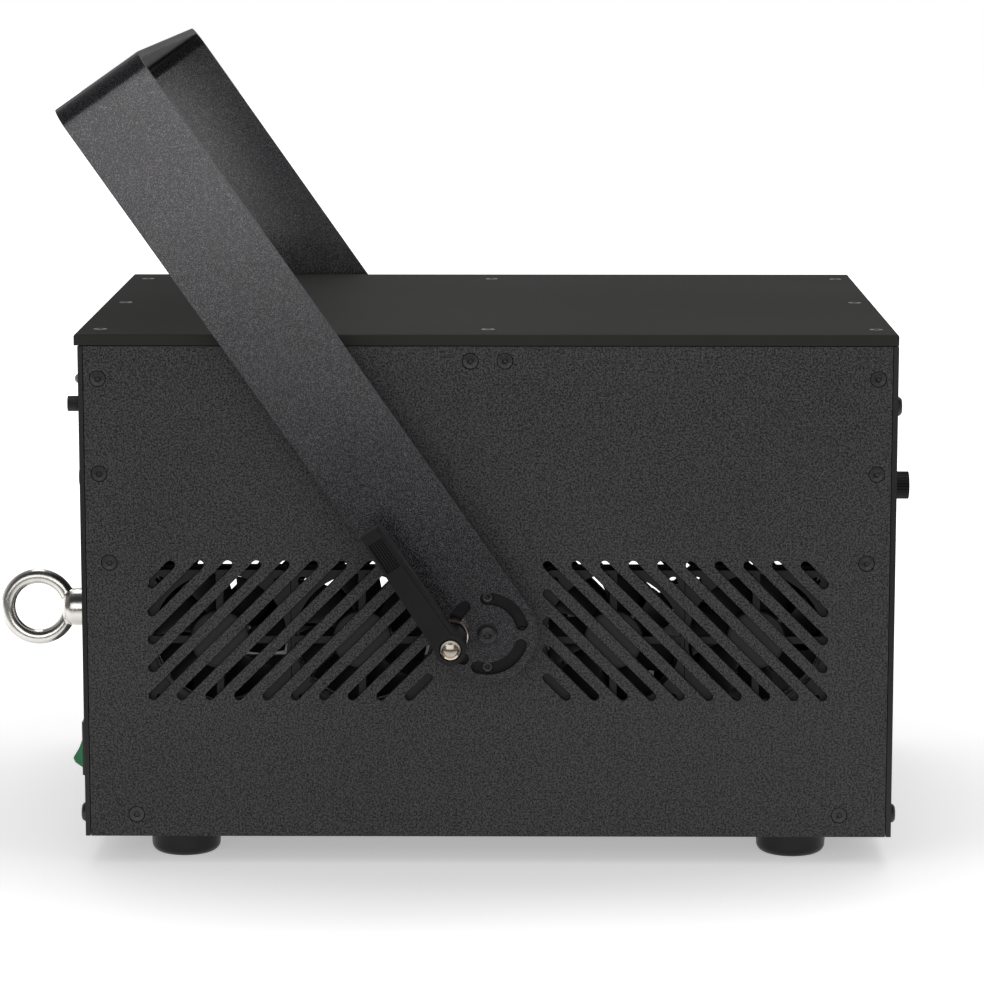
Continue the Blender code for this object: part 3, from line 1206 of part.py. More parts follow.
def main():
    """Builds every part of the projector."""
    clear_scene()
    case = bpy.data.objects.new("case", None)
    bpy.context.scene.collection.objects.link(case)
    case.location = (CASE_SHIFT, 0, 0)
    make_base()
    make_feet()
    make_side_panel("right_side_panel", -1)
    make_side_panel("left_side_panel", 1)
    make_front_panel()
    make_rear_panel()
    make_cover()
    for side, hand in ((-1, "right"), (1, "left")):
        make_pivot(side, hand)
        make_clamp(side, hand)
    make_yoke()
    make_lifting_eye()
    for name, x, z in fan_centres():
        make_fan(name, x, z)
    make_power_switch()
    make_level_knob()
    make_power_inlet()
    make_dmx_socket("dmx_input", DMX_INPUT_PLACE, True)
    make_dmx_socket("dmx_output", DMX_OUTPUT_PLACE, False)
    make_signal_port()
    make_network_port()
    make_display()
    make_key_switch()
    make_aperture()
    make_optics()
    make_electronics()


main()
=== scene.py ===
"""The looks of a laser show projector: its finishes, fasteners, vents, yoke, clamps, fittings and studio.

Everything is in metres, in the frame's own axes: +X is where the beam leaves, -Y is the side that faces
the camera, +Z is up. Each sub-assembly is a class that builds its pieces and dresses them.
"""

import json
import logging
import math
import random
from dataclasses import dataclass
from enum import Enum
from typing import Iterable

import bmesh
import bpy
from mathutils import Euler, Matrix, Vector


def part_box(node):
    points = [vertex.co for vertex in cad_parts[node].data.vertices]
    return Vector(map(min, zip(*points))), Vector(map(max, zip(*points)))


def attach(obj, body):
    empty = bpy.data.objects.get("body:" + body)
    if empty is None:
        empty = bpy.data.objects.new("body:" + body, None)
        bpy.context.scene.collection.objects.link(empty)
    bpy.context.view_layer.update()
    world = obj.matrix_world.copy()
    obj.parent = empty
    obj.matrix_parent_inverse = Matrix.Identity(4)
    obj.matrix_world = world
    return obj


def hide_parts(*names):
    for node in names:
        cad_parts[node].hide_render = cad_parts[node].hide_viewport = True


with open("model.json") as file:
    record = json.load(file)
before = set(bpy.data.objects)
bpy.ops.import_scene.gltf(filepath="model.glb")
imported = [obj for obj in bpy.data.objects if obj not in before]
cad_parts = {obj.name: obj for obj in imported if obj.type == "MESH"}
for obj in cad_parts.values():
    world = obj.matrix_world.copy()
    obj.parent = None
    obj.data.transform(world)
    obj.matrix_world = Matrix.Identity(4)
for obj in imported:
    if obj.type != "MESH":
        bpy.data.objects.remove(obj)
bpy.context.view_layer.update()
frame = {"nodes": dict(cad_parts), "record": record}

LOG = logging.getLogger("projector")
Point = tuple[float, float, float]
Flat = tuple[float, float]
Colour = tuple[float, float, float]

GAP = 0.0003  # the air that the frame's parts leave between each other
OVERRUN = 0.002  # how far a cutting shape reaches past the face that it cuts
CLAMP_RING = 0.0148  # how far round a pivot the clamp's stud and the disc's screws sit
CREASE = 35.0  # the angle in degrees above which an edge counts as sharp
ROUND_END = 0.499  # a slot's corner radius in widths, just short of a half
WELD = 1e-6  # points closer than this are one point
FLAT = 0.01  # faces that turn by less than this, in radians, are one face
PIVOT_HEIGHT = sum(corner.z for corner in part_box("right_pivot_disc")) / 2
CASE_MIDDLE = sum(corner.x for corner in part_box("right_side_panel")) / 2


class Effect(Enum):
    """The shader groups that several finishes share."""

    GRAIN = "coat_grain"
    HAZE = "slow_variation"
    LINES = "machining_lines"


class NodeSheet:
    """Adds and joins the nodes of one tree."""

    def __init__(self, tree: bpy.types.NodeTree) -> None:
        """Takes the tree to draw in."""
        self.tree = tree

    def add(self, kind: str, settings: dict | None = None, **inputs) -> bpy.types.Node:
        """Adds a node.

        Args:
            kind: the node's type name.
            settings: values of the node's own properties.
            inputs: values or outputs for its sockets, by name with spaces as underscores.

        Returns:
            The node.
        """
        node = self.tree.nodes.new(kind)
        for key, value in (settings or {}).items():
            setattr(node, key, value)
        for key, value in inputs.items():
            self.feed(node, key.replace("_", " "), value)
        return node

    def feed(self, node: bpy.types.Node, socket: str | int, value: object) -> None:
        """Sets a socket, found by its name or its number, to a value or to another node's output."""
        named = [s for s in node.inputs if s.name == socket and s.enabled] if isinstance(socket, str) else []
        target = named[0] if named else node.inputs[socket]
        if isinstance(value, bpy.types.NodeSocket):
            self.tree.links.new(value, target)
        else:
            target.default_value = value

    def math(self, operation: str, first: object, second: object = 0.0) -> bpy.types.NodeSocket:
        """Works out one sum of two numbers or outputs and returns its output."""
        node = self.tree.nodes.new("ShaderNodeMath")
        node.operation = operation
        self.feed(node, 0, first)
        self.feed(node, 1, second)
        return node.outputs[0]

    def between(
        self, value: object, low: float, high: float, start: float = 0.0, end: float = 1.0
    ) -> bpy.types.NodeSocket:
        """Maps a value from low..high to start..end and returns the output."""
        node = self.add("ShaderNodeMapRange", Value=value)
        for name, number in (("From Min", low), ("From Max", high), ("To Min", start), ("To Max", end)):
            node.inputs[name].default_value = number
        return node.outputs["Result"]

    def blend(self, mask: object, first: object, second: object) -> bpy.types.NodeSocket:
        """Mixes two colours by a mask and returns the colour output."""
        node = self.tree.nodes.new("ShaderNodeMix")
        node.data_type = "RGBA"
        self.feed(node, 0, mask)
        for number, colour in ((6, first), (7, second)):
            value = (*colour, 1.0) if isinstance(colour, tuple) else colour
            self.feed(node, number, value)
        return node.outputs[2]


FINE_GRAIN = 1.9  # the finer grain's scale, against the coarse one's
FINE_SHARE = 0.4  # the finer grain's share of the height
SPECK_BAND = (0.52, 0.74)  # where in the finer grain a speck starts and where it is full
HAZE_BAND = (0.3, 0.7)  # the noise values that the haze is stretched between
RELIEF_UNIT = 0.001  # what a height of 1 stands for where several reliefs are added up


def new_group(
    effect: Effect, inputs: dict[str, float], outputs: Iterable[str]
) -> tuple[NodeSheet, dict, dict]:
    """Starts a shader group with a Vector input and named number inputs and outputs.

    Args:
        effect: the effect that the group makes.
        inputs: its number inputs, with their defaults.
        outputs: its outputs' names.

    Returns:
        The sheet, the sources to draw from by name, and the ends to link to by name.
    """
    tree = bpy.data.node_groups.new(effect.value, "ShaderNodeTree")
    tree.interface.new_socket("Vector", in_out="INPUT", socket_type="NodeSocketVector")
    for name, value in inputs.items():
        socket = tree.interface.new_socket(name, in_out="INPUT", socket_type="NodeSocketFloat")
        socket.default_value = value
    for name in outputs:
        tree.interface.new_socket(name, in_out="OUTPUT", socket_type="NodeSocketFloat")
    sheet = NodeSheet(tree)
    entry = tree.nodes.new("NodeGroupInput")
    exit_node = tree.nodes.new("NodeGroupOutput")
    sources = {name: entry.outputs[name] for name in ("Vector", *inputs)}
    targets = {name: exit_node.inputs[name] for name in outputs}
    return sheet, sources, targets


def grain_group() -> bpy.types.NodeTree:
    """A coat's fine grain: its height, and a mask of its specks, where a powder coat paints glints and sets
    metal flakes.
    """
    sheet, source, target = new_group(Effect.GRAIN, {"Scale": 1500.0}, ("Height", "Speck"))
    coarse = sheet.add("ShaderNodeTexNoise", Vector=source["Vector"], Scale=source["Scale"], Detail=3.0)
    fine_scale = sheet.math("MULTIPLY", source["Scale"], FINE_GRAIN)
    fine = sheet.add("ShaderNodeTexNoise", Vector=source["Vector"], Scale=fine_scale, Detail=1.0)
    height = sheet.math("ADD", coarse.outputs[0], sheet.math("MULTIPLY", fine.outputs[0], FINE_SHARE))
    sheet.tree.links.new(height, target["Height"])
    sheet.tree.links.new(sheet.between(fine.outputs[0], *SPECK_BAND), target["Speck"])
    return sheet.tree


def haze_group() -> bpy.types.NodeTree:
    """A slow change over the surface, for colour and gloss that aren't quite even."""
    sheet, source, target = new_group(Effect.HAZE, {"Scale": 14.0}, ("Mask",))
    noise = sheet.add("ShaderNodeTexNoise", Vector=source["Vector"], Scale=source["Scale"], Detail=5.0)
    sheet.tree.links.new(sheet.between(noise.outputs[0], *HAZE_BAND), target["Mask"])
    return sheet.tree


def lines_group() -> bpy.types.NodeTree:
    """Fine marks that run one way, from turning, drawing or grinding."""
    sheet, source, target = new_group(Effect.LINES, {"Scale": 900.0, "Stretch": 0.02}, ("Height",))
    along = sheet.math("MULTIPLY", source["Scale"], source["Stretch"])
    stretch = sheet.add("ShaderNodeCombineXYZ", X=along, Y=source["Scale"], Z=source["Scale"])
    scaled = sheet.add("ShaderNodeVectorMath", {"operation": "MULTIPLY"})
    sheet.feed(scaled, 0, source["Vector"])
    sheet.feed(scaled, 1, stretch.outputs[0])
    noise = sheet.add("ShaderNodeTexNoise", Vector=scaled.outputs[0], Scale=1.0, Detail=2.0)
    sheet.tree.links.new(noise.outputs[0], target["Height"])
    return sheet.tree


GROUP_MAKERS = {Effect.GRAIN: grain_group, Effect.HAZE: haze_group, Effect.LINES: lines_group}


class Canvas(NodeSheet):
    """A material's tree, with its shader and the place on the object that its patterns follow."""

    def __init__(self, material: bpy.types.Material) -> None:
        """Takes the material to paint."""
        super().__init__(material.node_tree)
        self.shader = material.node_tree.nodes["Principled BSDF"]
        self.place = self.add("ShaderNodeTexCoord").outputs["Object"]

    def shade(self, **values) -> None:
        """Sets the shader's sockets, by name with underscores for spaces, to values or outputs."""
        for name, value in values.items():
            self.feed(self.shader, name.replace("_", " "), value)

    def effect(self, effect: Effect, **inputs) -> bpy.types.NodeOutputs:
        """Places a shared effect, made the first time that it is asked for, and returns its outputs."""
        node = self.add("ShaderNodeGroup")
        node.node_tree = bpy.data.node_groups.get(effect.value) or GROUP_MAKERS[effect]()
        for name, value in {"Vector": self.place, **inputs}.items():
            self.feed(node, name, value)
        return node.outputs

    def grain(self, scale: float) -> bpy.types.NodeOutputs:
        """Places the grain and returns its height and its specks."""
        return self.effect(Effect.GRAIN, Scale=scale)

    def haze(self, scale: float) -> bpy.types.NodeSocket:
        """Places the slow change and returns its mask."""
        return self.effect(Effect.HAZE, Scale=scale)["Mask"]

    def within(self, mask: object, start: float, end: float) -> bpy.types.NodeSocket:
        """Maps a mask to start..end and returns the output."""
        return self.between(mask, 0.0, 1.0, start, end)

    def vary(self, mask: object, roughness: float, spread: float) -> None:
        """Lets the roughness change by a mask, up to a spread each way."""
        self.shade(Roughness=self.within(mask, roughness - spread, roughness + spread))

    def emboss(self, height: object, depth: float) -> None:
        """Feeds a height into the shader's normal, with its depth in metres."""
        bump = self.add("ShaderNodeBump", Height=height, Distance=depth, Strength=1.0)
        self.shade(Normal=bump.outputs[0])


@dataclass(frozen=True)
class Finish:
    """What every finish has: a name, a colour and how it shines."""

    name: str
    colour: Colour
    roughness: float
    metallic: float = 0.0
    specular: float = 0.5

    def material(self) -> bpy.types.Material:
        """Returns this finish's material, made the first time that it is asked for."""
        title = f"{self.name}_finish"
        known = bpy.data.materials.get(title)
        if known:
            return known
        material = bpy.data.materials.new(title)
        material.use_nodes = True
        canvas = Canvas(material)
        canvas.shade(Base_Color=(*self.colour, 1.0), Roughness=self.roughness)
        canvas.shade(Metallic=self.metallic, Specular_IOR_Level=self.specular)
        self.paint(canvas)
        return material

    def tinted(self, share: float) -> Colour:
        """Returns the finish's colour, lighter or darker by a share."""
        return tuple(share * value for value in self.colour)

    def paint(self, canvas: Canvas) -> None:
        """Adds the finish's own nodes."""
        raise NotImplementedError


@dataclass(frozen=True)
class PowderCoat(Finish):
    """A textured powder coat: fine grain, specks with painted glints in their colour (also metal flakes where
    it has flake), and less shine seen aslant.
    """

    # the specks' colour: a painted glint, and on a coat with flake also the colour of its real metal flakes
    flake_and_painted_glint: Colour = (0.15, 0.15, 0.155)
    grain: float = 1300.0
    depth: float = 0.00010
    relief: Flat = (0.58, 0.82)
    # how far the specks take the painted glint colour
    painted_glint_share: float = 0.35
    contrast: float = 0.85
    flake: float = 0.0
    haze: float = 9.0
    patches: float = 0.08
    uneven: float = 0.04
    aslant: Flat = (0.60, 0.92)
    edge_dullness: float = 0.40

    def paint(self, canvas: Canvas) -> None:
        """Mixes painted glints into the colour at the specks, dulls what is seen aslant and embosses the
        grain.
        """
        grain, haze = canvas.grain(self.grain), canvas.haze(self.haze)
        relief = canvas.between(grain["Height"], *self.relief)
        shade = canvas.math("ADD", relief, canvas.within(haze, -self.patches, self.patches))
        ground = canvas.blend(shade, self.tinted(1 - self.contrast), self.tinted(1 + self.contrast))
        # painted glints: the specks are lightened in the base colour to stand in for the light that they
        # catch; with flake they are also metal
        share = canvas.math("MULTIPLY", grain["Speck"], self.painted_glint_share)
        canvas.shade(Base_Color=canvas.blend(share, ground, self.flake_and_painted_glint))
        if self.flake:
            canvas.shade(Metallic=canvas.math("MULTIPLY", grain["Speck"], self.flake))
        facing = canvas.add("ShaderNodeLayerWeight").outputs["Facing"]
        rough = canvas.within(haze, self.roughness - self.uneven, self.roughness + self.uneven)
        dulling = canvas.between(facing, *self.aslant, 0.0, self.edge_dullness)
        canvas.shade(Roughness=canvas.math("ADD", rough, dulling))
        canvas.emboss(grain["Height"], self.depth)


@dataclass(frozen=True)
class EvenCoat(Finish):
    """A nearly even surface, with a fine relief and a slow change of colour and gloss."""

    ripple: float = 0.00003
    grain: float = 520.0
    haze: float = 6.0
    lift: float = 1.25
    patches: float = 0.25
    uneven: float = 0.05

    def paint(self, canvas: Canvas) -> None:
        """Adds the relief and the slow change."""
        haze = canvas.haze(self.haze)
        shade = canvas.within(haze, 0.0, self.patches)
        canvas.shade(Base_Color=canvas.blend(shade, self.colour, self.tinted(self.lift)))
        canvas.vary(haze, self.roughness, self.uneven)
        canvas.emboss(canvas.grain(self.grain)["Height"], self.ripple)


@dataclass(frozen=True)
class SmoothPaint(EvenCoat):
    """A smooth coat with the faint ripple of sprayed paint."""


@dataclass(frozen=True)
class MouldedPlastic(EvenCoat):
    """Moulded plastic with the fine texture of its mould."""

    grain: float = 2600.0
    haze: float = 40.0
    lift: float = 1.35
    patches: float = 0.3
    uneven: float = 0.06


@dataclass(frozen=True)
class MouldedRubber(Finish):
    """Rubber with a fine grain, and a bloom of dust low down."""

    dust: Colour = (0.022, 0.021, 0.020)
    dust_height: float = 0.006
    dust_share: float = 0.5
    haze: float = 160.0
    grain: float = 1900.0
    depth: float = 0.00004
    uneven: float = 0.05

    def paint(self, canvas: Canvas) -> None:
        """Mixes dust in towards the floor and embosses the grain."""
        height = canvas.add("ShaderNodeSeparateXYZ", Vector=canvas.place).outputs["Z"]
        low = canvas.between(height, 0.0, self.dust_height, self.dust_share, 0.0)
        haze = canvas.haze(self.haze)
        share = canvas.math("MULTIPLY", low, haze)
        canvas.shade(Base_Color=canvas.blend(share, self.colour, self.dust))
        canvas.vary(haze, self.roughness, self.uneven)
        canvas.emboss(canvas.grain(self.grain)["Height"], self.depth)


@dataclass(frozen=True)
class PlatedMetal(Finish):
    """Bright or dark plating over drawn or forged metal."""

    dull: Colour = (0.40, 0.39, 0.37)
    marks: float = 0.00001
    scale: float = 900.0
    stretch: float = 0.05
    dents: float = 0.0
    haze: float = 120.0
    patch_start: float = 0.35
    patch_share: float = 0.55
    uneven: float = 0.08

    def paint(self, canvas: Canvas) -> None:
        """Adds dull patches, fine marks and, on forged metal, shallow dents."""
        haze = canvas.haze(self.haze)
        lines = canvas.effect(Effect.LINES, Scale=self.scale, Stretch=self.stretch)
        shade = canvas.between(haze, self.patch_start, 1.0, 0.0, self.patch_share)
        canvas.shade(Base_Color=canvas.blend(shade, self.colour, self.dull))
        canvas.vary(haze, self.roughness, self.uneven)
        marks = canvas.math("MULTIPLY", lines["Height"], self.marks / RELIEF_UNIT)
        dents = canvas.math("MULTIPLY", haze, self.dents / RELIEF_UNIT)
        canvas.emboss(canvas.math("ADD", marks, dents), RELIEF_UNIT)


@dataclass(frozen=True)
class ClearGlass(Finish):
    """Coated glass, with a faint film of dust in its gloss."""

    refraction: float = 1.5
    haze: float = 30.0
    film: float = 0.03

    def paint(self, canvas: Canvas) -> None:
        """Sets the glass's own constants and lets its gloss change a little."""
        canvas.shade(Transmission_Weight=1.0, IOR=self.refraction)
        rough = canvas.within(canvas.haze(self.haze), self.roughness, self.roughness + self.film)
        canvas.shade(Roughness=rough)


@dataclass(frozen=True)
class LitPlastic(Finish):
    """Clear coloured plastic with a lamp behind it: it glows a little and lets light through."""

    glow: float = 0.0
    clear: float = 0.35
    haze: float = 200.0
    deepening: float = 0.7

    def paint(self, canvas: Canvas) -> None:
        """Sets the glow and lets the colour deepen in patches."""
        canvas.shade(Transmission_Weight=self.clear, Emission_Strength=self.glow)
        colour = canvas.blend(canvas.haze(self.haze), self.colour, self.tinted(self.deepening))
        canvas.shade(Base_Color=colour, Emission_Color=colour)


@dataclass(frozen=True)
class CircuitBoard(Finish):
    """Solder mask with the faint relief of copper tracks under it."""

    track: Colour = (0.035, 0.20, 0.085)
    pitch: float = 0.0028
    mortar: float = 0.12
    uneven: float = 0.08
    relief: float = 0.00004

    def paint(self, canvas: Canvas) -> None:
        """Draws blocks of tracks as a brick pattern under the mask."""
        bricks = canvas.add("ShaderNodeTexBrick", Vector=canvas.place, Scale=1.0 / self.pitch)
        canvas.feed(bricks, "Mortar Size", self.mortar)
        mask = bricks.outputs["Fac"]
        canvas.shade(Base_Color=canvas.blend(mask, self.colour, self.track))
        canvas.vary(mask, self.roughness, self.uneven)
        canvas.emboss(mask, self.relief)


# the side coat's specks are painted glints
SIDE_COAT = PowderCoat(
    "side_powder_coat", (0.0375, 0.0368, 0.0385), 0.58, specular=0.25, depth=0.00006,
)
# the yoke's specks are metal flakes with painted glints in their colour
YOKE_COAT = PowderCoat(
    "yoke_powder_coat", (0.0055, 0.0050, 0.0062), 0.22, specular=0.78, flake_and_painted_glint=(0.21, 0.20, 0.22),
    grain=1600.0, depth=0.00001, painted_glint_share=1.0, flake=1.0, edge_dullness=0.60,
)
END_COAT = SmoothPaint("end_powder_coat", (0.012, 0.012, 0.013), 0.34, specular=0.35)
COVER_PAINT = SmoothPaint("cover_paint", (0.0330, 0.0325, 0.0310), 0.72, specular=0.03)
LABEL_FILM = SmoothPaint("label_film", (0.030, 0.030, 0.031), 0.40, specular=0.2)
DISPLAY_GLASS = SmoothPaint("display_glass", (0.010, 0.013, 0.018), 0.08, ripple=0.000002)
FOOT_RUBBER = MouldedRubber("foot_rubber", (0.0060, 0.0060, 0.0060), 0.34, specular=0.35)
LEVER_PLASTIC = MouldedPlastic("lever_plastic", (0.0060, 0.0060, 0.0064), 0.36, specular=0.32)
FITTING_PLASTIC = MouldedPlastic("fitting_plastic", (0.014, 0.014, 0.014), 0.38)
FAN_PLASTIC = MouldedPlastic("fan_plastic", (0.012, 0.012, 0.013), 0.42, specular=0.3)
CHIP_RESIN = MouldedPlastic("chip_resin", (0.020, 0.020, 0.021), 0.45)
BLACK_STEEL = PlatedMetal("blackened_steel", (0.012, 0.012, 0.013), 0.34, 0.6, dull=(0.006, 0.006, 0.007))
SCREW_STEEL = PlatedMetal("screw_steel", (0.046, 0.046, 0.049), 0.36, 0.6, dull=(0.022, 0.022, 0.024))
PLATED_STEEL = PlatedMetal(
    "plated_steel", (0.80, 0.78, 0.74), 0.20, 1.0, dull=(0.62, 0.59, 0.56), dents=0.00006,
)
NICKEL = PlatedMetal(
    "nickel_plate", (0.52, 0.46, 0.40), 0.18, 1.0, dull=(0.26, 0.21, 0.17), marks=0.00002,
)
BARE_ALUMINIUM = PlatedMetal("bare_aluminium", (0.55, 0.56, 0.58), 0.36, 1.0, dull=(0.44, 0.45, 0.47))
DARK_ALUMINIUM = PlatedMetal("dark_aluminium", (0.05, 0.05, 0.053), 0.42, 0.8, dull=(0.03, 0.03, 0.032))
MIRROR_COAT = PlatedMetal(
    "mirror_coating", (0.90, 0.90, 0.90), 0.03, 1.0, dull=(0.88, 0.88, 0.88), uneven=0.01,
)
GOLD_PLATE = PlatedMetal("gold_plate", (0.80, 0.58, 0.26), 0.20, 1.0, dull=(0.62, 0.44, 0.20))
ROCKER_PLASTIC = LitPlastic("rocker_plastic", (0.006, 0.26, 0.085), 0.18, glow=0.12)
LAMP_LENS = LitPlastic("lamp_lens", (0.35, 0.36, 0.34), 0.15, glow=0.02)
WINDOW_GLASS = ClearGlass("window_glass", (0.92, 0.95, 0.95), 0.02)
BOARD_MASK = CircuitBoard("circuit_board", (0.014, 0.085, 0.036), 0.42)


class Axis(Enum):
    """The axis that an outline is pulled along or a profile is turned about, after the two across it."""

    X = (Vector((0, 1, 0)), Vector((0, 0, 1)), Vector((1, 0, 0)))
    Y = (Vector((1, 0, 0)), Vector((0, 0, 1)), Vector((0, 1, 0)))
    Z = (Vector((1, 0, 0)), Vector((0, 1, 0)), Vector((0, 0, 1)))


class Join(Enum):
    """The ways in which one shape is combined with another."""

    ADD = "UNION"
    CUT = "DIFFERENCE"


@dataclass(frozen=True)
class Box:
    """The lowest and highest corners of a part of the frame."""

    low: Vector
    high: Vector

    @classmethod
    def of(cls, node: str) -> "Box":
        """Returns the box of one part."""
        low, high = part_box(node)
        return cls(Vector(low), Vector(high))

    @property
    def middle(self) -> Vector:
        """The box's centre."""
        return (self.low + self.high) / 2

    @property
    def size(self) -> Vector:
        """The box's length along each axis."""
        return self.high - self.low


@dataclass(frozen=True)
class Ring:
    """One ring of a turned piece: its radius, its height along the axis, and its flats if it has any."""

    radius: float
    height: float
    flats: int = 0

    def reach(self, angle: float) -> float:
        """Returns the ring's distance from the axis at an angle."""
        if not self.flats:
            return self.radius
        share = 2 * math.pi / self.flats
        return self.radius / math.cos(angle % share - share / 2)


def arc(
    radius: float, steps: int, centre: Flat = (0.0, 0.0), start: float = 0.0, sweep: float = 2 * math.pi
) -> list[Flat]:
    """Returns points round a circle, or along an arc with both its ends."""
    count = steps if abs(sweep) >= 2 * math.pi else steps + 1
    angles = [start + sweep * i / steps for i in range(count)]
    return [(centre[0] + radius * math.cos(a), centre[1] + radius * math.sin(a)) for a in angles]


def cylinder(radius: float, start: float, end: float) -> list[Ring]:
    """Returns the rings of a plain cylinder."""
    return [Ring(0, start), Ring(radius, start), Ring(radius, end), Ring(0, end)]


def dome(flat: float, radius: float, rise: float, rim_share: float, steps: int) -> list[Ring]:
    """Returns rings that fall from a flat top to a rim, which keeps a share of the rise."""
    angles = [math.pi / 2 * i / steps for i in range(1, steps + 1)]
    fall = 1 - rim_share
    return [
        Ring(flat + (radius - flat) * math.sin(a), rise * (rim_share + fall * math.cos(a))) for a in angles
    ]


def rounded_rectangle(
    width: float, height: float, radius: float, centre: Flat = (0.0, 0.0), steps: int = 4
) -> list[Flat]:
    """Returns the outline of a rectangle with rounded corners, anticlockwise."""
    points = []
    for quarter, (a, b) in enumerate(((1, 1), (-1, 1), (-1, -1), (1, -1))):
        corner = (centre[0] + a * (width / 2 - radius), centre[1] + b * (height / 2 - radius))
        points += arc(radius, steps, corner, quarter * math.pi / 2, math.pi / 2)
    return points


def knurled(radius: float, teeth: int, depth: float, centre: Flat = (0.0, 0.0)) -> list[Flat]:
    """Returns a round outline with small teeth all round, for a knob that is gripped."""
    points = []
    for i in range(4 * teeth):
        reach = radius - (depth if i % 4 > 1 else 0.0)
        angle = math.pi / 2 / teeth * i
        points.append((centre[0] + reach * math.cos(angle), centre[1] + reach * math.sin(angle)))
    return points


class Shape:
    """A closed surface in the making, in the frame's own axes."""

    def __init__(self, mesh: bpy.types.Mesh | None = None) -> None:
        """Starts empty, or from a mesh that it copies and merges."""
        self.form = bmesh.new()
        if mesh:
            self.form.from_mesh(mesh)
            bmesh.ops.remove_doubles(self.form, verts=self.form.verts, dist=WELD)

    @classmethod
    def of(cls, node: str) -> "Shape":
        """Returns a merged copy of a part of the frame, its flat faces made whole."""
        shape = cls(frame["nodes"][node].data)
        form = shape.form
        bmesh.ops.dissolve_limit(form, angle_limit=FLAT, verts=form.verts, edges=form.edges)
        return shape

    def pull(self, outline: list[Flat], axis: Axis, start: float, end: float) -> "Shape":
        """Adds an outline pulled straight from start to end along an axis."""
        first, second, along = axis.value
        near = [self.form.verts.new(first * a + second * b + along * start) for a, b in outline]
        far = [self.form.verts.new(first * a + second * b + along * end) for a, b in outline]
        self.form.faces.new(near)
        self.form.faces.new(far)
        self.bridge(near, far)
        return self

    def box(self, low: Iterable[float], high: Iterable[float]) -> "Shape":
        """Adds a plain block between two corners."""
        (a, b, c), (d, e, f) = low, high
        return self.pull([(a, b), (d, b), (d, e), (a, e)], Axis.Z, c, f)

    def bridge(self, near: list, far: list) -> None:
        """Joins two loops of points, either of which may be a single point."""
        count = max(len(near), len(far))
        for i in range(count):
            j = (i + 1) % count
            corners = [near[i % len(near)], near[j % len(near)], far[j % len(far)], far[i % len(far)]]
            unique = list(dict.fromkeys(corners))
            if len(unique) > 2:
                self.form.faces.new(unique)

    def loft(self, loops: list[list[Point]], closed: bool = False) -> "Shape":
        """Adds a surface through loops of points, with flat ends unless it closes on itself."""
        rows = [[self.form.verts.new(point) for point in loop] for loop in loops]
        for near, far in zip(rows, rows[1:]):
            self.bridge(near, far)
        if closed:
            self.bridge(rows[-1], rows[0])
            return self
        for row in (rows[0], rows[-1]):
            if len(row) > 2:
                self.form.faces.new(row)
        return self

    def turn(
        self, rings: list[Ring], axis: Axis, at: Iterable[float] = (0, 0, 0), facing: int = 1, steps: int = 48
    ) -> "Shape":
        """Adds a turned solid.

        Args:
            rings: its rings in order. It closes on itself unless it starts and ends on the axis.
            axis: the axis that it is turned about.
            at: a point on that axis, from which the heights count.
            facing: 1 if heights count along the axis, -1 if they count against it.
            steps: how many points each ring has.

        Returns:
            The shape itself.
        """
        first, second, along = axis.value
        centre = Vector(at)
        loops = []
        for ring in rings:
            middle = centre + along * ring.height * facing
            angles = [2 * math.pi * i / steps for i in range(steps)] if ring.radius else [0.0]
            rays = [(first * math.cos(a) + second * math.sin(a)) * ring.reach(a) for a in angles]
            loops.append([middle + ray for ray in rays])
        return self.loft(loops, closed=rings[0].radius > 0)

    def move(self, matrix: Matrix) -> "Shape":
        """Moves the whole shape by a matrix."""
        bmesh.ops.transform(self.form, matrix=matrix, verts=self.form.verts)
        return self

    def add(self, other: "Shape") -> "Shape":
        """Adds another shape's surface beside this one, without joining them."""
        other.form.to_mesh(spare := bpy.data.meshes.new("spare"))
        self.form.from_mesh(spare)
        bpy.data.meshes.remove(spare)
        return self

    def combine(self, other: "Shape", how: Join) -> "Shape":
        """Joins another shape on or cuts it out."""
        base, tool = (part.carrier("joining") for part in (self, other))
        modifier = base.modifiers.new("joining", "BOOLEAN")
        modifier.object, modifier.operation, modifier.solver = tool, how.value, "EXACT"
        self.form = bmesh.new()
        self.form.from_mesh(settle(base))
        drop(tool)
        return self

    def carrier(self, name: str) -> bpy.types.Object:
        """Returns an object that holds this shape, its faces turned outwards."""
        bmesh.ops.recalc_face_normals(self.form, faces=self.form.faces)
        mesh = bpy.data.meshes.new(name)
        self.form.to_mesh(mesh)
        return shown(name, mesh)

    def forge(self, voxel: float, rounds: int) -> "Shape":
        """Melts the shape into one even skin and smooths its inner corners, as forging does."""
        base = self.carrier("forging")
        remesh = base.modifiers.new("forging", "REMESH")
        remesh.mode, remesh.voxel_size = "VOXEL", voxel
        smooth = base.modifiers.new("smoothing", "SMOOTH")
        smooth.factor, smooth.iterations = 0.5, rounds
        self.form = bmesh.new()
        self.form.from_mesh(settle(base))
        return self


def shown(name: str, data: bpy.types.ID) -> bpy.types.Object:
    """Returns a new object of the scene that holds some data."""
    carrier = bpy.data.objects.new(name, data)
    bpy.context.scene.collection.objects.link(carrier)
    return carrier


def drop(carrier: bpy.types.Object) -> None:
    """Removes an object and its mesh."""
    mesh = carrier.data
    bpy.data.objects.remove(carrier, do_unlink=True)
    if isinstance(mesh, bpy.types.Mesh) and not mesh.users:
        bpy.data.meshes.remove(mesh)


def settle(carrier: bpy.types.Object) -> bpy.types.Mesh:
    """Returns the plain mesh that an object's modifiers make, and removes the object."""
    evaluated = carrier.evaluated_get(bpy.context.evaluated_depsgraph_get())
    mesh = bpy.data.meshes.new_from_object(evaluated)
    drop(carrier)
    return mesh


@dataclass(frozen=True)
class Fit:
    """How a piece joins the rest: the body that it rides on, the parts that it stands for, and its slot,
    which is not used.
    """

    body: str
    stands_for: tuple[str, ...] = ()
    slot: str | None = None


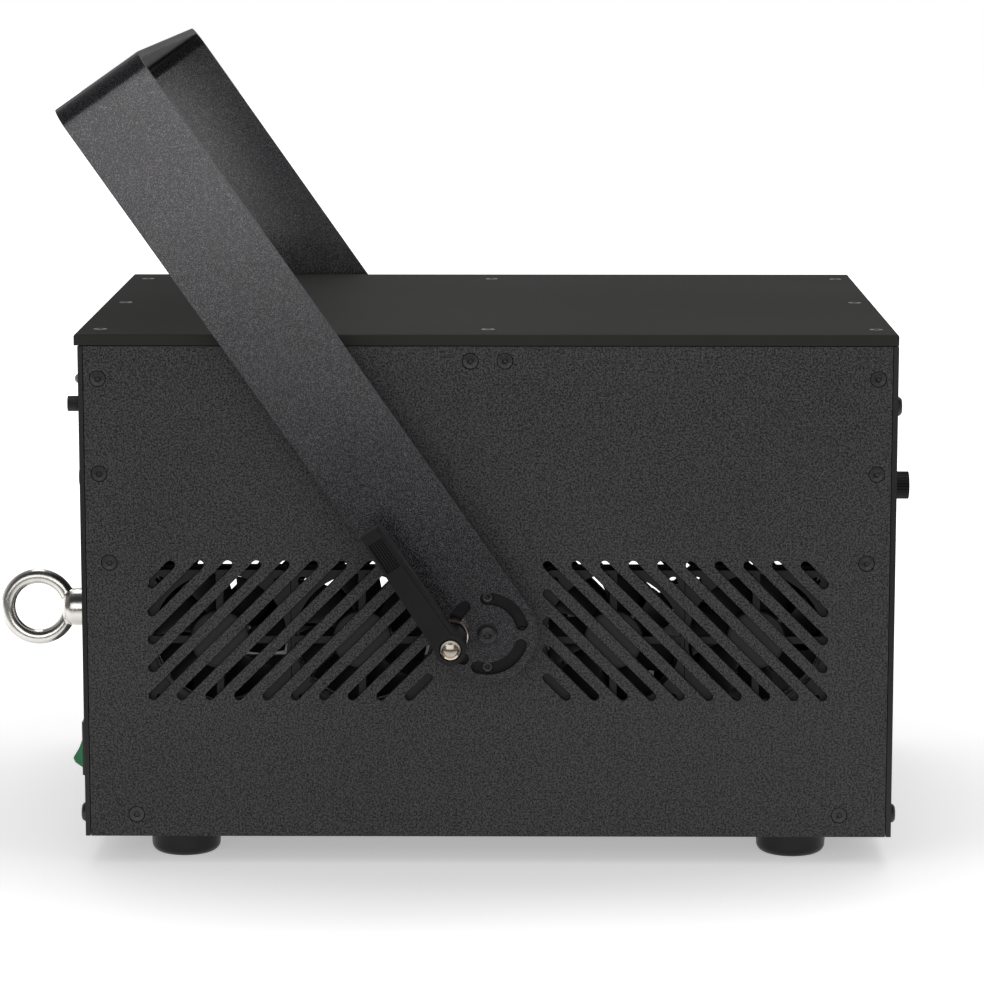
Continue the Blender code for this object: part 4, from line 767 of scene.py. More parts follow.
def fitted(piece: bpy.types.Object, finish: Finish, fit: Fit) -> bpy.types.Object:
    """Dresses a finished piece, hangs it on its body and hides the parts that it stands for."""
    piece.data.materials.clear()
    piece.data.materials.append(finish.material())
    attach(piece, fit.body)
    if fit.stands_for:
        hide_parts(*fit.stands_for)
    LOG.info("%s: %d faces, on %s", piece.name, len(piece.data.polygons), fit.body)
    return piece


def round_edges(carrier: bpy.types.Object, width: float, segments: int, crease: float) -> None:
    """Rounds the edges that are sharper than a crease angle in degrees."""
    bevel = carrier.modifiers.new("rounding", "BEVEL")
    bevel.width, bevel.segments = width, segments
    bevel.limit_method, bevel.angle_limit = "ANGLE", math.radians(crease)
    bevel.use_clamp_overlap = True


def make_piece(
    name: str,
    shape: Shape,
    finish: Finish,
    fit: Fit,
    rounding: float = 0.0,
    segments: int = 2,
    crease: float = CREASE,
) -> bpy.types.Object:
    """Makes a piece from a shape.

    Args:
        name: the piece's name.
        shape: its surface.
        finish: its finish.
        fit: how it joins the rest.
        rounding: the width of the rounding on its edges.
        segments: how many steps the rounding has.
        crease: the angle in degrees above which an edge counts as one.

    Returns:
        The piece.
    """
    carrier = shape.carrier(name)
    carrier.data.shade_smooth()
    if rounding:
        round_edges(carrier, rounding, segments, crease)
    else:
        carrier.data.set_sharp_from_angle(angle=math.radians(crease))
    weights = carrier.modifiers.new("flat_faces", "WEIGHTED_NORMAL")
    weights.keep_sharp = True
    return fitted(shown(name, settle(carrier)), finish, fit)


class Pattern(NodeSheet):
    """A geometry tree with named inputs, which turns a mesh of guides into a finished mesh."""

    KINDS = {float: "NodeSocketFloat", int: "NodeSocketInt", Vector: "NodeSocketVector"}

    def __init__(self, name: str, sizes: dict[str, object], takes_piece: bool = False) -> None:
        """Starts the tree with one input for each size, with its default, and one for the finish."""
        super().__init__(bpy.data.node_groups.new(name, "GeometryNodeTree"))
        face = self.tree.interface
        face.new_socket("Guides", in_out="INPUT", socket_type="NodeSocketGeometry")
        for label, value in sizes.items():
            socket = face.new_socket(label, in_out="INPUT", socket_type=self.KINDS[type(value)])
            socket.default_value = value
        if takes_piece:
            face.new_socket("Piece", in_out="INPUT", socket_type="NodeSocketObject")
        face.new_socket("Finish", in_out="INPUT", socket_type="NodeSocketMaterial")
        face.new_socket("Result", in_out="OUTPUT", socket_type="NodeSocketGeometry")
        self.source = self.tree.nodes.new("NodeGroupInput").outputs
        self.result = self.tree.nodes.new("NodeGroupOutput").inputs["Result"]

    def attribute(self, name: str, kind: str = "FLOAT") -> bpy.types.NodeSocket:
        """Returns a named attribute's output."""
        return self.add("GeometryNodeInputNamedAttribute", {"data_type": kind}, Name=name).outputs[0]

    def join(self, *parts: bpy.types.NodeSocket) -> bpy.types.NodeSocket:
        """Joins several geometries and returns the output."""
        node = self.add("GeometryNodeJoinGeometry")
        for part in parts:
            self.tree.links.new(part, node.inputs[0])
        return node.outputs[0]

    def close(self, geometry: bpy.types.NodeSocket) -> None:
        """Ends the tree: real geometry, in the finish that it was given."""
        real = self.add("GeometryNodeRealizeInstances", Geometry=geometry).outputs[0]
        dressed = self.add("GeometryNodeSetMaterial", Geometry=real, Material=self.source["Finish"])
        self.tree.links.new(dressed.outputs[0], self.result)

    def run(
        self, guides: bpy.types.Mesh, finish: Finish, piece: Shape | None = None, **sizes
    ) -> bpy.types.Mesh:
        """Runs the tree.

        Args:
            guides: the mesh that it starts from.
            finish: the finish of the result.
            piece: the shape that it repeats, for a tree that repeats one.
            sizes: its inputs by name, with underscores for spaces.

        Returns:
            The plain mesh that it makes.
        """
        carrier = shown(self.tree.name, guides)
        modifier = carrier.modifiers.new(self.tree.name, "NODES")
        modifier.node_group = self.tree
        values = {label.replace("_", " "): value for label, value in sizes.items()}
        values["Finish"] = finish.material()
        repeated = piece.carrier("repeated") if piece else None
        if repeated:
            repeated.data.shade_smooth()
            repeated.data.set_sharp_from_angle(angle=math.radians(CREASE))
            values["Piece"] = repeated
        for item in self.tree.interface.items_tree:
            if item.in_out == "INPUT" and item.name in values:
                modifier[item.identifier] = values[item.name]
        mesh = settle(carrier)
        if repeated:
            drop(repeated)
        return mesh


def pierced_plate_pattern() -> Pattern:
    """A plate with an outline, odd holes drawn as loops, and a round-ended slot at each loose point.

    A point's length, width and lean say how long its slot is between the centres of its ends, how wide it
    is and how far it leans. A slot with no length is a round hole.
    """
    tree = Pattern("pierced_plate", {"Thickness": 0.003, "Corner Steps": 5})
    length, width = tree.attribute("length"), tree.attribute("width")
    square = tree.add("GeometryNodeCurvePrimitiveQuadrilateral", Width=1.0, Height=1.0).outputs[0]
    reach = tree.math("ADD", length, width)
    scale = tree.add("ShaderNodeCombineXYZ", X=reach, Y=width, Z=1.0)
    turn = tree.add("ShaderNodeCombineXYZ", X=0.0, Y=0.0, Z=tree.attribute("lean"))
    holes = tree.add("GeometryNodeInstanceOnPoints", Points=tree.source["Guides"], Instance=square)
    tree.feed(holes, "Selection", tree.math("GREATER_THAN", width, 0.0))
    tree.feed(holes, "Rotation", turn.outputs[0])
    tree.feed(holes, "Scale", scale.outputs[0])
    real = tree.add("GeometryNodeRealizeInstances", Geometry=holes.outputs[0])
    ends = tree.add("GeometryNodeFilletCurve", Curve=real.outputs[0])
    ends.mode = "POLY"
    tree.feed(ends, "Count", tree.source["Corner Steps"])
    tree.feed(ends, "Radius", tree.math("MULTIPLY", tree.attribute("width"), ROUND_END))
    tree.feed(ends, "Limit Radius", True)
    outline = tree.add("GeometryNodeMeshToCurve", Mesh=tree.source["Guides"])
    curves = tree.join(ends.outputs[0], outline.outputs[0])
    face = tree.add("GeometryNodeFillCurve", {"mode": "TRIANGLES"}, Curve=curves)
    raised = tree.add("GeometryNodeExtrudeMesh", {"mode": "FACES"}, Mesh=face.outputs[0])
    raised.inputs["Individual"].default_value = False
    tree.feed(raised, "Offset Scale", tree.source["Thickness"])
    back = tree.add("GeometryNodeFlipFaces", Mesh=face.outputs[0])
    whole = tree.join(raised.outputs[0], back.outputs[0])
    tree.close(tree.add("GeometryNodeMergeByDistance", Geometry=whole, Distance=WELD).outputs[0])
    return tree


def placed_pieces_pattern() -> Pattern:
    """One piece at each point, its own +Z turned to the point's facing and then spun about it."""
    tree = Pattern("placed_pieces", {"Size": 1.0}, takes_piece=True)
    piece = tree.add("GeometryNodeObjectInfo", Object=tree.source["Piece"])
    facing = tree.attribute("facing", "FLOAT_VECTOR")
    aimed = tree.add("FunctionNodeAlignRotationToVector", {"axis": "Z"}, Vector=facing)
    about = tree.add("FunctionNodeAxisAngleToRotation", Axis=(0.0, 0.0, 1.0), Angle=tree.attribute("spin"))
    spun = tree.add("FunctionNodeRotateRotation", {"rotation_space": "LOCAL"}, Rotation=aimed.outputs[0])
    tree.feed(spun, "Rotate By", about.outputs[0])
    copies = tree.add("GeometryNodeInstanceOnPoints", Points=tree.source["Guides"])
    tree.feed(copies, "Instance", piece.outputs["Geometry"])
    tree.feed(copies, "Rotation", spun.outputs[0])
    tree.feed(copies, "Scale", tree.source["Size"])
    tree.close(copies.outputs[0])
    return tree


def repeated_pieces_pattern() -> Pattern:
    """Copies of one piece in a row or round a ring: each is a step further and a turn about Z further."""
    sizes = {"Count": 6, "Step": Vector((0.0, 0.0, 0.0)), "Turn": 0.0}
    tree = Pattern("repeated_pieces", sizes, takes_piece=True)
    piece = tree.add("GeometryNodeObjectInfo", Object=tree.source["Piece"]).outputs["Geometry"]
    row = tree.add("GeometryNodeMeshLine", {"mode": "OFFSET"}, Count=tree.source["Count"])
    tree.feed(row, "Offset", tree.source["Step"])
    number = tree.add("GeometryNodeInputIndex").outputs[0]
    turn = tree.add("ShaderNodeCombineXYZ", Z=tree.math("MULTIPLY", number, tree.source["Turn"]))
    copies = tree.add("GeometryNodeInstanceOnPoints", Points=row.outputs[0], Instance=piece)
    tree.feed(copies, "Rotation", turn.outputs[0])
    tree.close(copies.outputs[0])
    return tree


PATTERN_MAKERS = {
    "pierced_plate": pierced_plate_pattern,
    "placed_pieces": placed_pieces_pattern,
    "repeated_pieces": repeated_pieces_pattern,
}
PATTERNS: dict[str, Pattern] = {}


def pattern(name: str) -> Pattern:
    """Returns a pattern by name, made the first time that it is asked for."""
    if name not in PATTERNS:
        PATTERNS[name] = PATTERN_MAKERS[name]()
    return PATTERNS[name]


@dataclass(frozen=True)
class Opening:
    """A slot or hole in a plate: the place of its middle, its width, its length and its lean."""

    place: Flat
    width: float
    length: float = 0.0
    lean: float = 0.0


def pierced_plate(
    loops: list[list[Flat]], openings: list[Opening], thickness: float, finish: Finish, steps: int = 5
) -> Shape:
    """Makes a plate that lies on z = 0 and reaches up by its thickness.

    Args:
        loops: its outline, then each odd hole's.
        openings: its slots and round holes.
        thickness: how thick it is.
        finish: its finish.
        steps: how many points each quarter of a round end has.

    Returns:
        The plate's shape.
    """
    places, edges = [], []
    for loop in loops:
        first = len(places)
        places += [(a, b, 0.0) for a, b in loop]
        edges += [(first + i, first + (i + 1) % len(loop)) for i in range(len(loop))]
    drawn = len(places)
    places += [(*opening.place, 0.0) for opening in openings]
    guides = bpy.data.meshes.new("plate_guides")
    guides.from_pydata(places, edges, [])
    for label in ("width", "length", "lean"):
        values = [0.0] * drawn + [getattr(opening, label) for opening in openings]
        guides.attributes.new(label, "FLOAT", "POINT").data.foreach_set("value", values)
    mesh = pattern("pierced_plate").run(guides, finish, Thickness=thickness, Corner_Steps=steps)
    shape = Shape(mesh)
    bmesh.ops.dissolve_limit(shape.form, angle_limit=FLAT, verts=shape.form.verts, edges=shape.form.edges)
    return shape


@dataclass(frozen=True)
class Seat:
    """Where a fastener sits: its place, the way that its head faces and how far it is turned."""

    place: Point
    facing: Point
    spin: float = 0.0


def placed_pieces(name: str, piece: Shape, seats: list[Seat], finish: Finish, fit: Fit) -> bpy.types.Object:
    """Makes one piece of many like fasteners, one at each seat."""
    guides = bpy.data.meshes.new("seat_guides")
    guides.from_pydata([seat.place for seat in seats], [], [])
    facings = [value for seat in seats for value in seat.facing]
    guides.attributes.new("facing", "FLOAT_VECTOR", "POINT").data.foreach_set("vector", facings)
    spins = [seat.spin for seat in seats]
    guides.attributes.new("spin", "FLOAT", "POINT").data.foreach_set("value", spins)
    mesh = pattern("placed_pieces").run(guides, finish, piece)
    return fitted(shown(name, mesh), finish, fit)


def repeated(piece: Shape, count: int, finish: Finish, step: Point = (0, 0, 0), turn: float = 0.0) -> Shape:
    """Returns copies of a shape in a row or round Z, as one shape."""
    guides = bpy.data.meshes.new("repeat_guides")
    mesh = pattern("repeated_pieces").run(guides, finish, piece, Count=count, Step=Vector(step), Turn=turn)
    return Shape(mesh)


@dataclass(frozen=True)
class Screw:
    """A screw whose head's face lies at z = 0 or proud of it, with its shank below."""

    radius: float = 0.0033
    socket: float = 0.00125
    socket_depth: float = 0.0014
    shank: float = 0.0018
    length: float = 0.007
    proud: float = 0.0
    steps: int = 36
    sunk: float = 0.00008
    wall: float = 0.0005
    flush_edge: float = 0.00018
    domed_edge: float = 0.00015
    flat_share: float = 0.55
    rim_share: float = 0.1
    dome_steps: int = 6
    lift: float = 0.00002

    def hexagon(self, floor: float, tip: float, mouth: float) -> list[Ring]:
        """The rings of the socket: its drilled tip, its floor and its six-sided wall."""
        rings = [Ring(0, floor - tip), Ring(self.socket * 0.6, floor, 6)]
        return rings + [Ring(self.socket, floor + 0.0002, 6), Ring(self.socket, mouth, 6)]

    def countersunk(self) -> Shape:
        """A flat head with a cone under it, flush with its plate."""
        face, edge = -self.sunk, self.flush_edge
        rings = self.hexagon(-self.socket_depth, 0.0004, face - edge / 2)
        rings += [Ring(self.socket + edge, face), Ring(self.radius - edge, face)]
        rings += [Ring(self.radius, face - edge), Ring(self.radius, face - self.wall)]
        rings.append(Ring(self.shank, face - self.wall - (self.radius - self.shank)))
        rings += [Ring(self.shank, -self.length), Ring(0, -self.length)]
        return Shape().turn(rings, Axis.Z, steps=self.steps)

    def button(self) -> Shape:
        """A domed head that stands proud of its plate."""
        rise, edge = self.proud, self.domed_edge
        rings = self.hexagon(rise - self.socket_depth, 0.0003, rise - edge)
        rings.append(Ring(self.socket + edge, rise))
        rings += dome(self.radius * self.flat_share, self.radius, rise, self.rim_share, self.dome_steps)
        rings += [Ring(self.radius, self.lift), Ring(self.shank, self.lift)]
        rings += [Ring(self.shank, -self.length), Ring(0, -self.length)]
        return Shape().turn(rings, Axis.Z, steps=self.steps)


CASE_BODY = "case"
SIDES = (("right", -1), ("left", 1))


def set_screws(name: str, screw: Shape, seats: list[Seat]) -> None:
    """Makes one piece of like screws that sit on the case."""
    placed_pieces(name, screw, seats, SCREW_STEEL, Fit(CASE_BODY))


def face_screws(
    name: str, screw: Screw, face: float, facing: int, spots: Iterable[Flat], twist: float = 0.5
) -> None:
    """Sets domed screws on a face across X, each turned further than the last.

    Args:
        name: the piece's name.
        screw: the screw.
        face: where the face lies along X.
        facing: 1 if it faces along X, -1 if it faces against it.
        spots: their places across and up.
        twist: how much further each is turned.
    """
    seats = [Seat((face, y, z), (facing, 0, 0), twist * i) for i, (y, z) in enumerate(spots)]
    set_screws(name, screw.button(), seats)


@dataclass
class SidePanels:
    """The two side panels: sheet plates with two fields of slanted slots, held by flush screws."""

    field_length: float = 0.120
    field_height: float = 0.060
    half_spacing: float = 0.023
    vent_middle: float = 0.1007
    slot_width: float = 0.004
    slot_pitch: float = 0.012
    pivot_hole: float = 0.0028
    clamp_hole: float = 0.0026
    screw: Screw = Screw()
    screw_gap: float = 0.00022
    edge: float = 0.0004
    seed: int = 4
    screw_places: tuple[Flat, ...] = (
        (0.1623, 0.2074), (0.1623, 0.1674), (0.1586, 0.1297), (0.1487, 0.0214), (0.0072, 0.2149),
    )

    def slots(self) -> Iterable[Opening]:
        """The slots of both fields, which lean away from the pivot."""
        reach = self.slot_width / 2
        right, top = self.field_length - reach, self.field_height - reach
        bottom = self.vent_middle - self.field_height / 2
        left = self.half_spacing + self.field_length
        count = int((self.field_length + self.field_height - self.slot_pitch / 2) / self.slot_pitch)
        for k in range(count):
            across = self.slot_pitch * (k + 1) - self.field_height
            start = max(across, 0.0) + reach
            end = min(across + top, right)
            if end - start <= self.slot_width:
                continue
            middle = (start + end) / 2
            length = (end - start) * math.sqrt(2)
            for hand in (-1, 1):
                place = (CASE_MIDDLE + hand * (left - middle), bottom + middle - across)
                yield Opening(place, self.slot_width, length, -hand * math.pi / 4)

    def holes(self) -> Iterable[Opening]:
        """The round holes of the pivot, the clamp and the screws."""
        yield Opening((CASE_MIDDLE, PIVOT_HEIGHT), 2 * self.pivot_hole)
        yield Opening((CASE_MIDDLE - CLAMP_RING, PIVOT_HEIGHT), 2 * self.clamp_hole)
        for x, z in self.places():
            yield Opening((x, z), 2 * (self.screw.radius + self.screw_gap))

    def places(self) -> list[Flat]:
        """Where the screws sit, along and above."""
        return [(CASE_MIDDLE + hand * x, z) for x, z in self.screw_places for hand in (-1, 1)]

    def build(self) -> None:
        """Makes both panels and their screws."""
        for hand, side in SIDES:
            node = f"{hand}_side_panel"
            box = Box.of(node)
            low, high = (box.low.x, box.low.z), (box.high.x, box.high.z)
            outline = [low, (high[0], low[1]), high, (low[0], high[1])]
            openings = [*self.slots(), *self.holes()]
            plate = pierced_plate([outline], openings, box.size.y, SIDE_COAT)
            plate.move(Matrix.Translation((0, box.high.y, 0)) @ Matrix.Rotation(math.pi / 2, 4, "X"))
            make_piece(f"{hand}_vented_panel", plate, SIDE_COAT, Fit(CASE_BODY, (node,)), self.edge)
            face = box.low.y if side < 0 else box.high.y
            turn = random.Random(self.seed + side)
            seats = [Seat((x, face, z), (0, side, 0), turn.uniform(0, math.pi)) for x, z in self.places()]
            set_screws(f"{hand}_panel_screws", self.screw.countersunk(), seats)


@dataclass
class CaseShell:
    """The lid, the two end panels and the base plate."""

    lid_screw: Screw = Screw(radius=0.0031, length=0.003, shank=0.0020)
    lid_screw_gap: float = 0.0002
    lid_screw_hole: float = 0.0032
    lid_inset: Flat = (0.163, 0.1025)
    lid_edge: float = 0.0008
    lid_profile: float = 0.6
    lid_rounding: float = 0.0002
    lid_twist: float = 0.4
    pan_edge: float = 0.0006
    base_edge: float = 0.0004
    end_inset: float = 0.1145
    end_heights: Flat = (0.0204, 0.1650)
    front_lift: float = 0.0300
    button: Screw = Screw(radius=0.0042, proud=0.0024, socket=0.0014)
    flat: Screw = Screw(radius=0.0045, proud=0.0010, socket=0.0014)

    def lid_places(self) -> list[Point]:
        """Where the lid's screws sit, on its top face."""
        top = Box.of("top_cover").high.z
        x, y = self.lid_inset
        flat = [(a * x, b * y) for a in (-1, 1) for b in (-1, 1)] + [(0, -y), (0, y), (-x, 0), (x, 0)]
        return [(CASE_MIDDLE + a, b, top) for a, b in flat]

    def build_lid(self) -> None:
        """Makes the lid with a hole for each of its flush screws."""
        box = Box.of("top_cover")
        plate_low = Box.of("right_side_panel").high.z + GAP
        lid = Shape().box((box.low.x, box.low.y, plate_low), box.high)
        form = lid.form
        rim = [e for e in form.edges if all(v.co.z > box.high.z - GAP for v in e.verts)]
        bmesh.ops.recalc_face_normals(form, faces=form.faces)
        width, profile = self.lid_edge, self.lid_profile
        bmesh.ops.bevel(form, geom=rim, offset=width, segments=2, profile=profile, affect="EDGES")
        holes = Shape()
        for place in self.lid_places():
            radius = self.lid_screw.radius + self.lid_screw_gap
            holes.turn(cylinder(radius, -self.lid_screw_hole, OVERRUN), Axis.Z, place, steps=36)
        lid.combine(holes, Join.CUT)
        fit = Fit(CASE_BODY, ("top_cover",))
        make_piece("lid", lid, COVER_PAINT, fit, self.lid_rounding, 1, 30.0)
        seats = [Seat(place, (0, 0, 1), self.lid_twist * i) for i, place in enumerate(self.lid_places())]
        set_screws("lid_screws", self.lid_screw.countersunk(), seats)

    def build(self) -> None:
        """Makes the shell and the screws in its ends and its base."""
        self.build_lid()
        for node in ("front_panel", "rear_panel"):
            make_piece(f"{node}_pan", Shape.of(node), END_COAT, Fit(CASE_BODY, (node,)), self.pan_edge)
        tray = Shape.of("base_plate")
        make_piece("base_tray", tray, END_COAT, Fit(CASE_BODY, ("base_plate",)), self.base_edge)
        (low, high), edge = self.end_heights, self.end_inset
        rear, front = Box.of("rear_panel").low.x, Box.of("front_panel").high.x
        face_screws("rear_button_screws", self.button, rear, -1, [(-edge, low), (edge, low)])
        face_screws("rear_flat_screws", self.flat, rear, -1, [(-edge, high), (edge, high)])
        spots = [(side * edge, z) for side in (-1, 1) for z in (low, high + self.front_lift)]
        face_screws("front_button_screws", self.button, front, 1, spots)


@dataclass
class Feet:
    """Four turned rubber feet, each hollow under its middle for the screw that holds it."""

    names: tuple[str, ...] = ("front_right_foot", "front_left_foot", "rear_right_foot", "rear_left_foot")
    rounding: float = 0.0036
    taper: float = 0.0003
    well_radius: float = 0.0055
    well_depth: float = 0.007
    well_edge: float = 0.0006
    top_edge: float = 0.0004
    screw: Screw = Screw(radius=0.0046, proud=0.0022, socket=0.0015, length=0.003)

    def build(self) -> None:
        """Makes the feet and their screws."""
        seats = []
        for name in self.names:
            box = Box.of(name)
            radius, top = box.size.x / 2, box.high.z
            centre = (box.middle.x, box.middle.y, 0)
            corner = (radius - self.taper - self.rounding, self.rounding)
            rings = [Ring(0, self.well_depth), Ring(self.well_radius, self.well_depth)]
            rings += [Ring(self.well_radius, self.well_edge), Ring(self.well_radius + self.well_edge, 0)]
            rings += [Ring(r, h) for r, h in arc(self.rounding, 8, corner, -math.pi / 2, math.pi / 2)]
            rings += [Ring(radius, top - self.top_edge), Ring(radius - self.top_edge, top), Ring(0, top)]
            shape = Shape().turn(rings, Axis.Z, centre, steps=72)
            make_piece(f"{name}_rubber", shape, FOOT_RUBBER, Fit(CASE_BODY, (name,)), crease=40)
            seats.append(Seat((box.middle.x, box.middle.y, self.well_depth), (0, 0, -1)))
        set_screws("foot_screws", self.screw.button(), seats)


@dataclass
class Yoke:
    """The bent strap that carries the projector, drawn flat and folded round its two bends."""

    width: float = 0.0416
    thickness: float = 0.003
    reach: float = 0.279
    bend: float = 0.010
    arm_outer: float = 0.1377
    tilt: float = math.radians(35)
    pivot_hole: float = 0.0028
    crossbar_hole: float = 0.0065
    slot_width: float = 0.0052
    spans: tuple[Flat, ...] = ((33, 110), (144, 232), (259, 355))
    bend_steps: int = 14
    edge: float = 0.00045
    edge_steps: int = 3
    edge_crease: float = 40.0

    def arm_length(self) -> float:
        """The flat length from the crossbar's middle to the pivot."""
        return self.bar_half() + self.bend * math.pi / 2 + self.reach - self.bend

    def bar_half(self) -> float:
        """Half the crossbar's straight length."""
        return self.arm_outer - self.bend

    def arc_slot(self, start: float, end: float, side: int) -> list[Flat]:
        """Draws one slot round a pivot, in the flat, from its angles clockwise from the arm's length."""
        first, last = (math.radians(90 - value) for value in (start, end))
        half = self.slot_width / 2
        outer = arc(CLAMP_RING + half, 14, start=first, sweep=last - first)
        inner = arc(CLAMP_RING - half, 14, start=last, sweep=first - last)
        far = (CLAMP_RING * math.cos(last), CLAMP_RING * math.sin(last))
        near = (CLAMP_RING * math.cos(first), CLAMP_RING * math.sin(first))
        drawn = outer + arc(half, 10, far, last, -math.pi)[1:-1]
        drawn += inner + arc(half, 10, near, first + math.pi, -math.pi)[1:-1]
        return [(side * (self.arm_length() - rise), across) for across, rise in drawn]

    def fold(self, place: Vector) -> Vector:
        """Takes a point of the flat strap to its place on the folded and tilted yoke."""
        along, across, depth = place
        side = 1 if along >= 0 else -1
        run = abs(along) - self.bar_half()
        bent = self.bend * math.pi / 2
        if run <= 0:
            y, z = abs(along), self.reach - depth
        elif run < bent:
            angle, radius = run / self.bend, self.bend - depth
            y = self.bar_half() + radius * math.sin(angle)
            z = self.reach - self.bend + radius * math.cos(angle)
        else:
            y, z = self.arm_outer - depth, self.reach - self.bend - (run - bent)
        x = across * math.cos(self.tilt) - z * math.sin(self.tilt)
        rise = across * math.sin(self.tilt) + z * math.cos(self.tilt)
        return Vector((CASE_MIDDLE + x, side * y, PIVOT_HEIGHT + rise))

    def build(self) -> None:
        """Draws the flat strap, rounds its edges and folds it."""
        half, end = self.width / 2, self.arm_length()
        outline = arc(half, 32, (end, 0), -math.pi / 2, math.pi)
        outline += arc(half, 32, (-end, 0), math.pi / 2, math.pi)
        loops = [outline]
        openings = [Opening((0, 0), 2 * self.crossbar_hole)]
        for side in (-1, 1):
            loops += [self.arc_slot(start, stop, side) for start, stop in self.spans]
            openings.append(Opening((side * end, 0), 2 * self.pivot_hole))
        strap = pierced_plate(loops, openings, self.thickness, YOKE_COAT, steps=9)
        carrier = strap.carrier("flat_strap")
        carrier.data.shade_smooth()
        round_edges(carrier, self.edge, self.edge_steps, self.edge_crease)
        folded = Shape(settle(carrier))
        for side in (-1, 1):
            for step in range(self.bend_steps + 1):
                station = side * (self.bar_half() + self.bend * math.pi / 2 * step / self.bend_steps)
                form = folded.form
                geometry = [*form.verts, *form.edges, *form.faces]
                bmesh.ops.bisect_plane(form, geom=geometry, plane_co=(station, 0, 0), plane_no=(1, 0, 0))
        for vertex in folded.form.verts:
            vertex.co = self.fold(vertex.co)
        make_piece("folded_yoke", folded, YOKE_COAT, Fit("yoke", ("yoke",)), crease=28)


@dataclass
class Pivots:
    """The disc behind each arm with its flush screws, and the screw that each arm turns on."""

    disc_screw: Screw = Screw(radius=0.0023, socket=0.0009, socket_depth=0.001, shank=0.0012, length=0.0035)
    disc_screw_gap: float = 0.0001
    disc_screw_hole: float = 0.0040
    disc_edge: float = 0.0003
    head_radius: float = 0.00425
    head_height: float = 0.003
    head_rim: float = 0.35
    socket: float = 0.0015
    shank: float = 0.0025

    def head(self) -> Shape:
        """The pivot screw's domed head with its six-sided socket, above z = 0."""
        rise, radius = self.head_height, self.head_radius
        rings = [Ring(0, rise - 0.0022), Ring(self.socket * 0.5, rise - 0.0019, 6)]
        rings += [Ring(self.socket, rise - 0.0016, 6), Ring(self.socket, rise - 0.00025, 6)]
        rings += [Ring(self.socket + 0.0005, rise)]
        rings += dome(self.socket + 0.0009, radius, rise, self.head_rim, 8)
        rings += [Ring(radius, 0.0002), Ring(radius - 0.0002, 0), Ring(0, 0)]
        return Shape().turn(rings, Axis.Z)

    def build(self) -> None:
        """Makes both sides' discs and screws."""
        for hand, side in SIDES:
            disc_box, screw_box = Box.of(f"{hand}_pivot_disc"), Box.of(f"{hand}_pivot_screw")
            face = disc_box.high.y if side > 0 else disc_box.low.y
            spots = [(CLAMP_RING, 0.0), (0.0, CLAMP_RING), (0.0, -CLAMP_RING)]
            disc = Shape.of(f"{hand}_pivot_disc")
            holes = Shape()
            seats = []
            for x, z in spots:
                place = (CASE_MIDDLE + x, face, PIVOT_HEIGHT + z)
                radius = self.disc_screw.radius + self.disc_screw_gap
                holes.turn(cylinder(radius, -self.disc_screw_hole, OVERRUN), Axis.Y, place, side, 24)
                seats.append(Seat(place, (0, side, 0), x * 90))
            disc.combine(holes, Join.CUT)
            fit = Fit(CASE_BODY, (f"{hand}_pivot_disc",))
            make_piece(f"{hand}_disc", disc, BLACK_STEEL, fit, self.disc_edge)
            set_screws(f"{hand}_disc_screws", self.disc_screw.countersunk(), seats)
            outer = screw_box.high.y if side > 0 else screw_box.low.y
            seat = outer - side * self.head_height
            head = self.head().move(Matrix.Rotation(-side * math.pi / 2, 4, "X"))
            head.move(Matrix.Translation((CASE_MIDDLE, seat, PIVOT_HEIGHT)))
            inner = screw_box.low.y if side > 0 else screw_box.high.y
            wide, narrow = self.shank, self.shank - 0.0002
            rings = [Ring(0, inner), Ring(narrow, inner), Ring(wide, inner + side * 0.0003)]
            rings += [Ring(wide, seat), Ring(0, seat)]
            shank = Shape().turn(rings, Axis.Y, (CASE_MIDDLE, 0, PIVOT_HEIGHT), steps=32)
            fit = Fit(CASE_BODY, (f"{hand}_pivot_screw",))
            make_piece(f"{hand}_pivot_cap_screw", head.add(shank), SCREW_STEEL, fit)


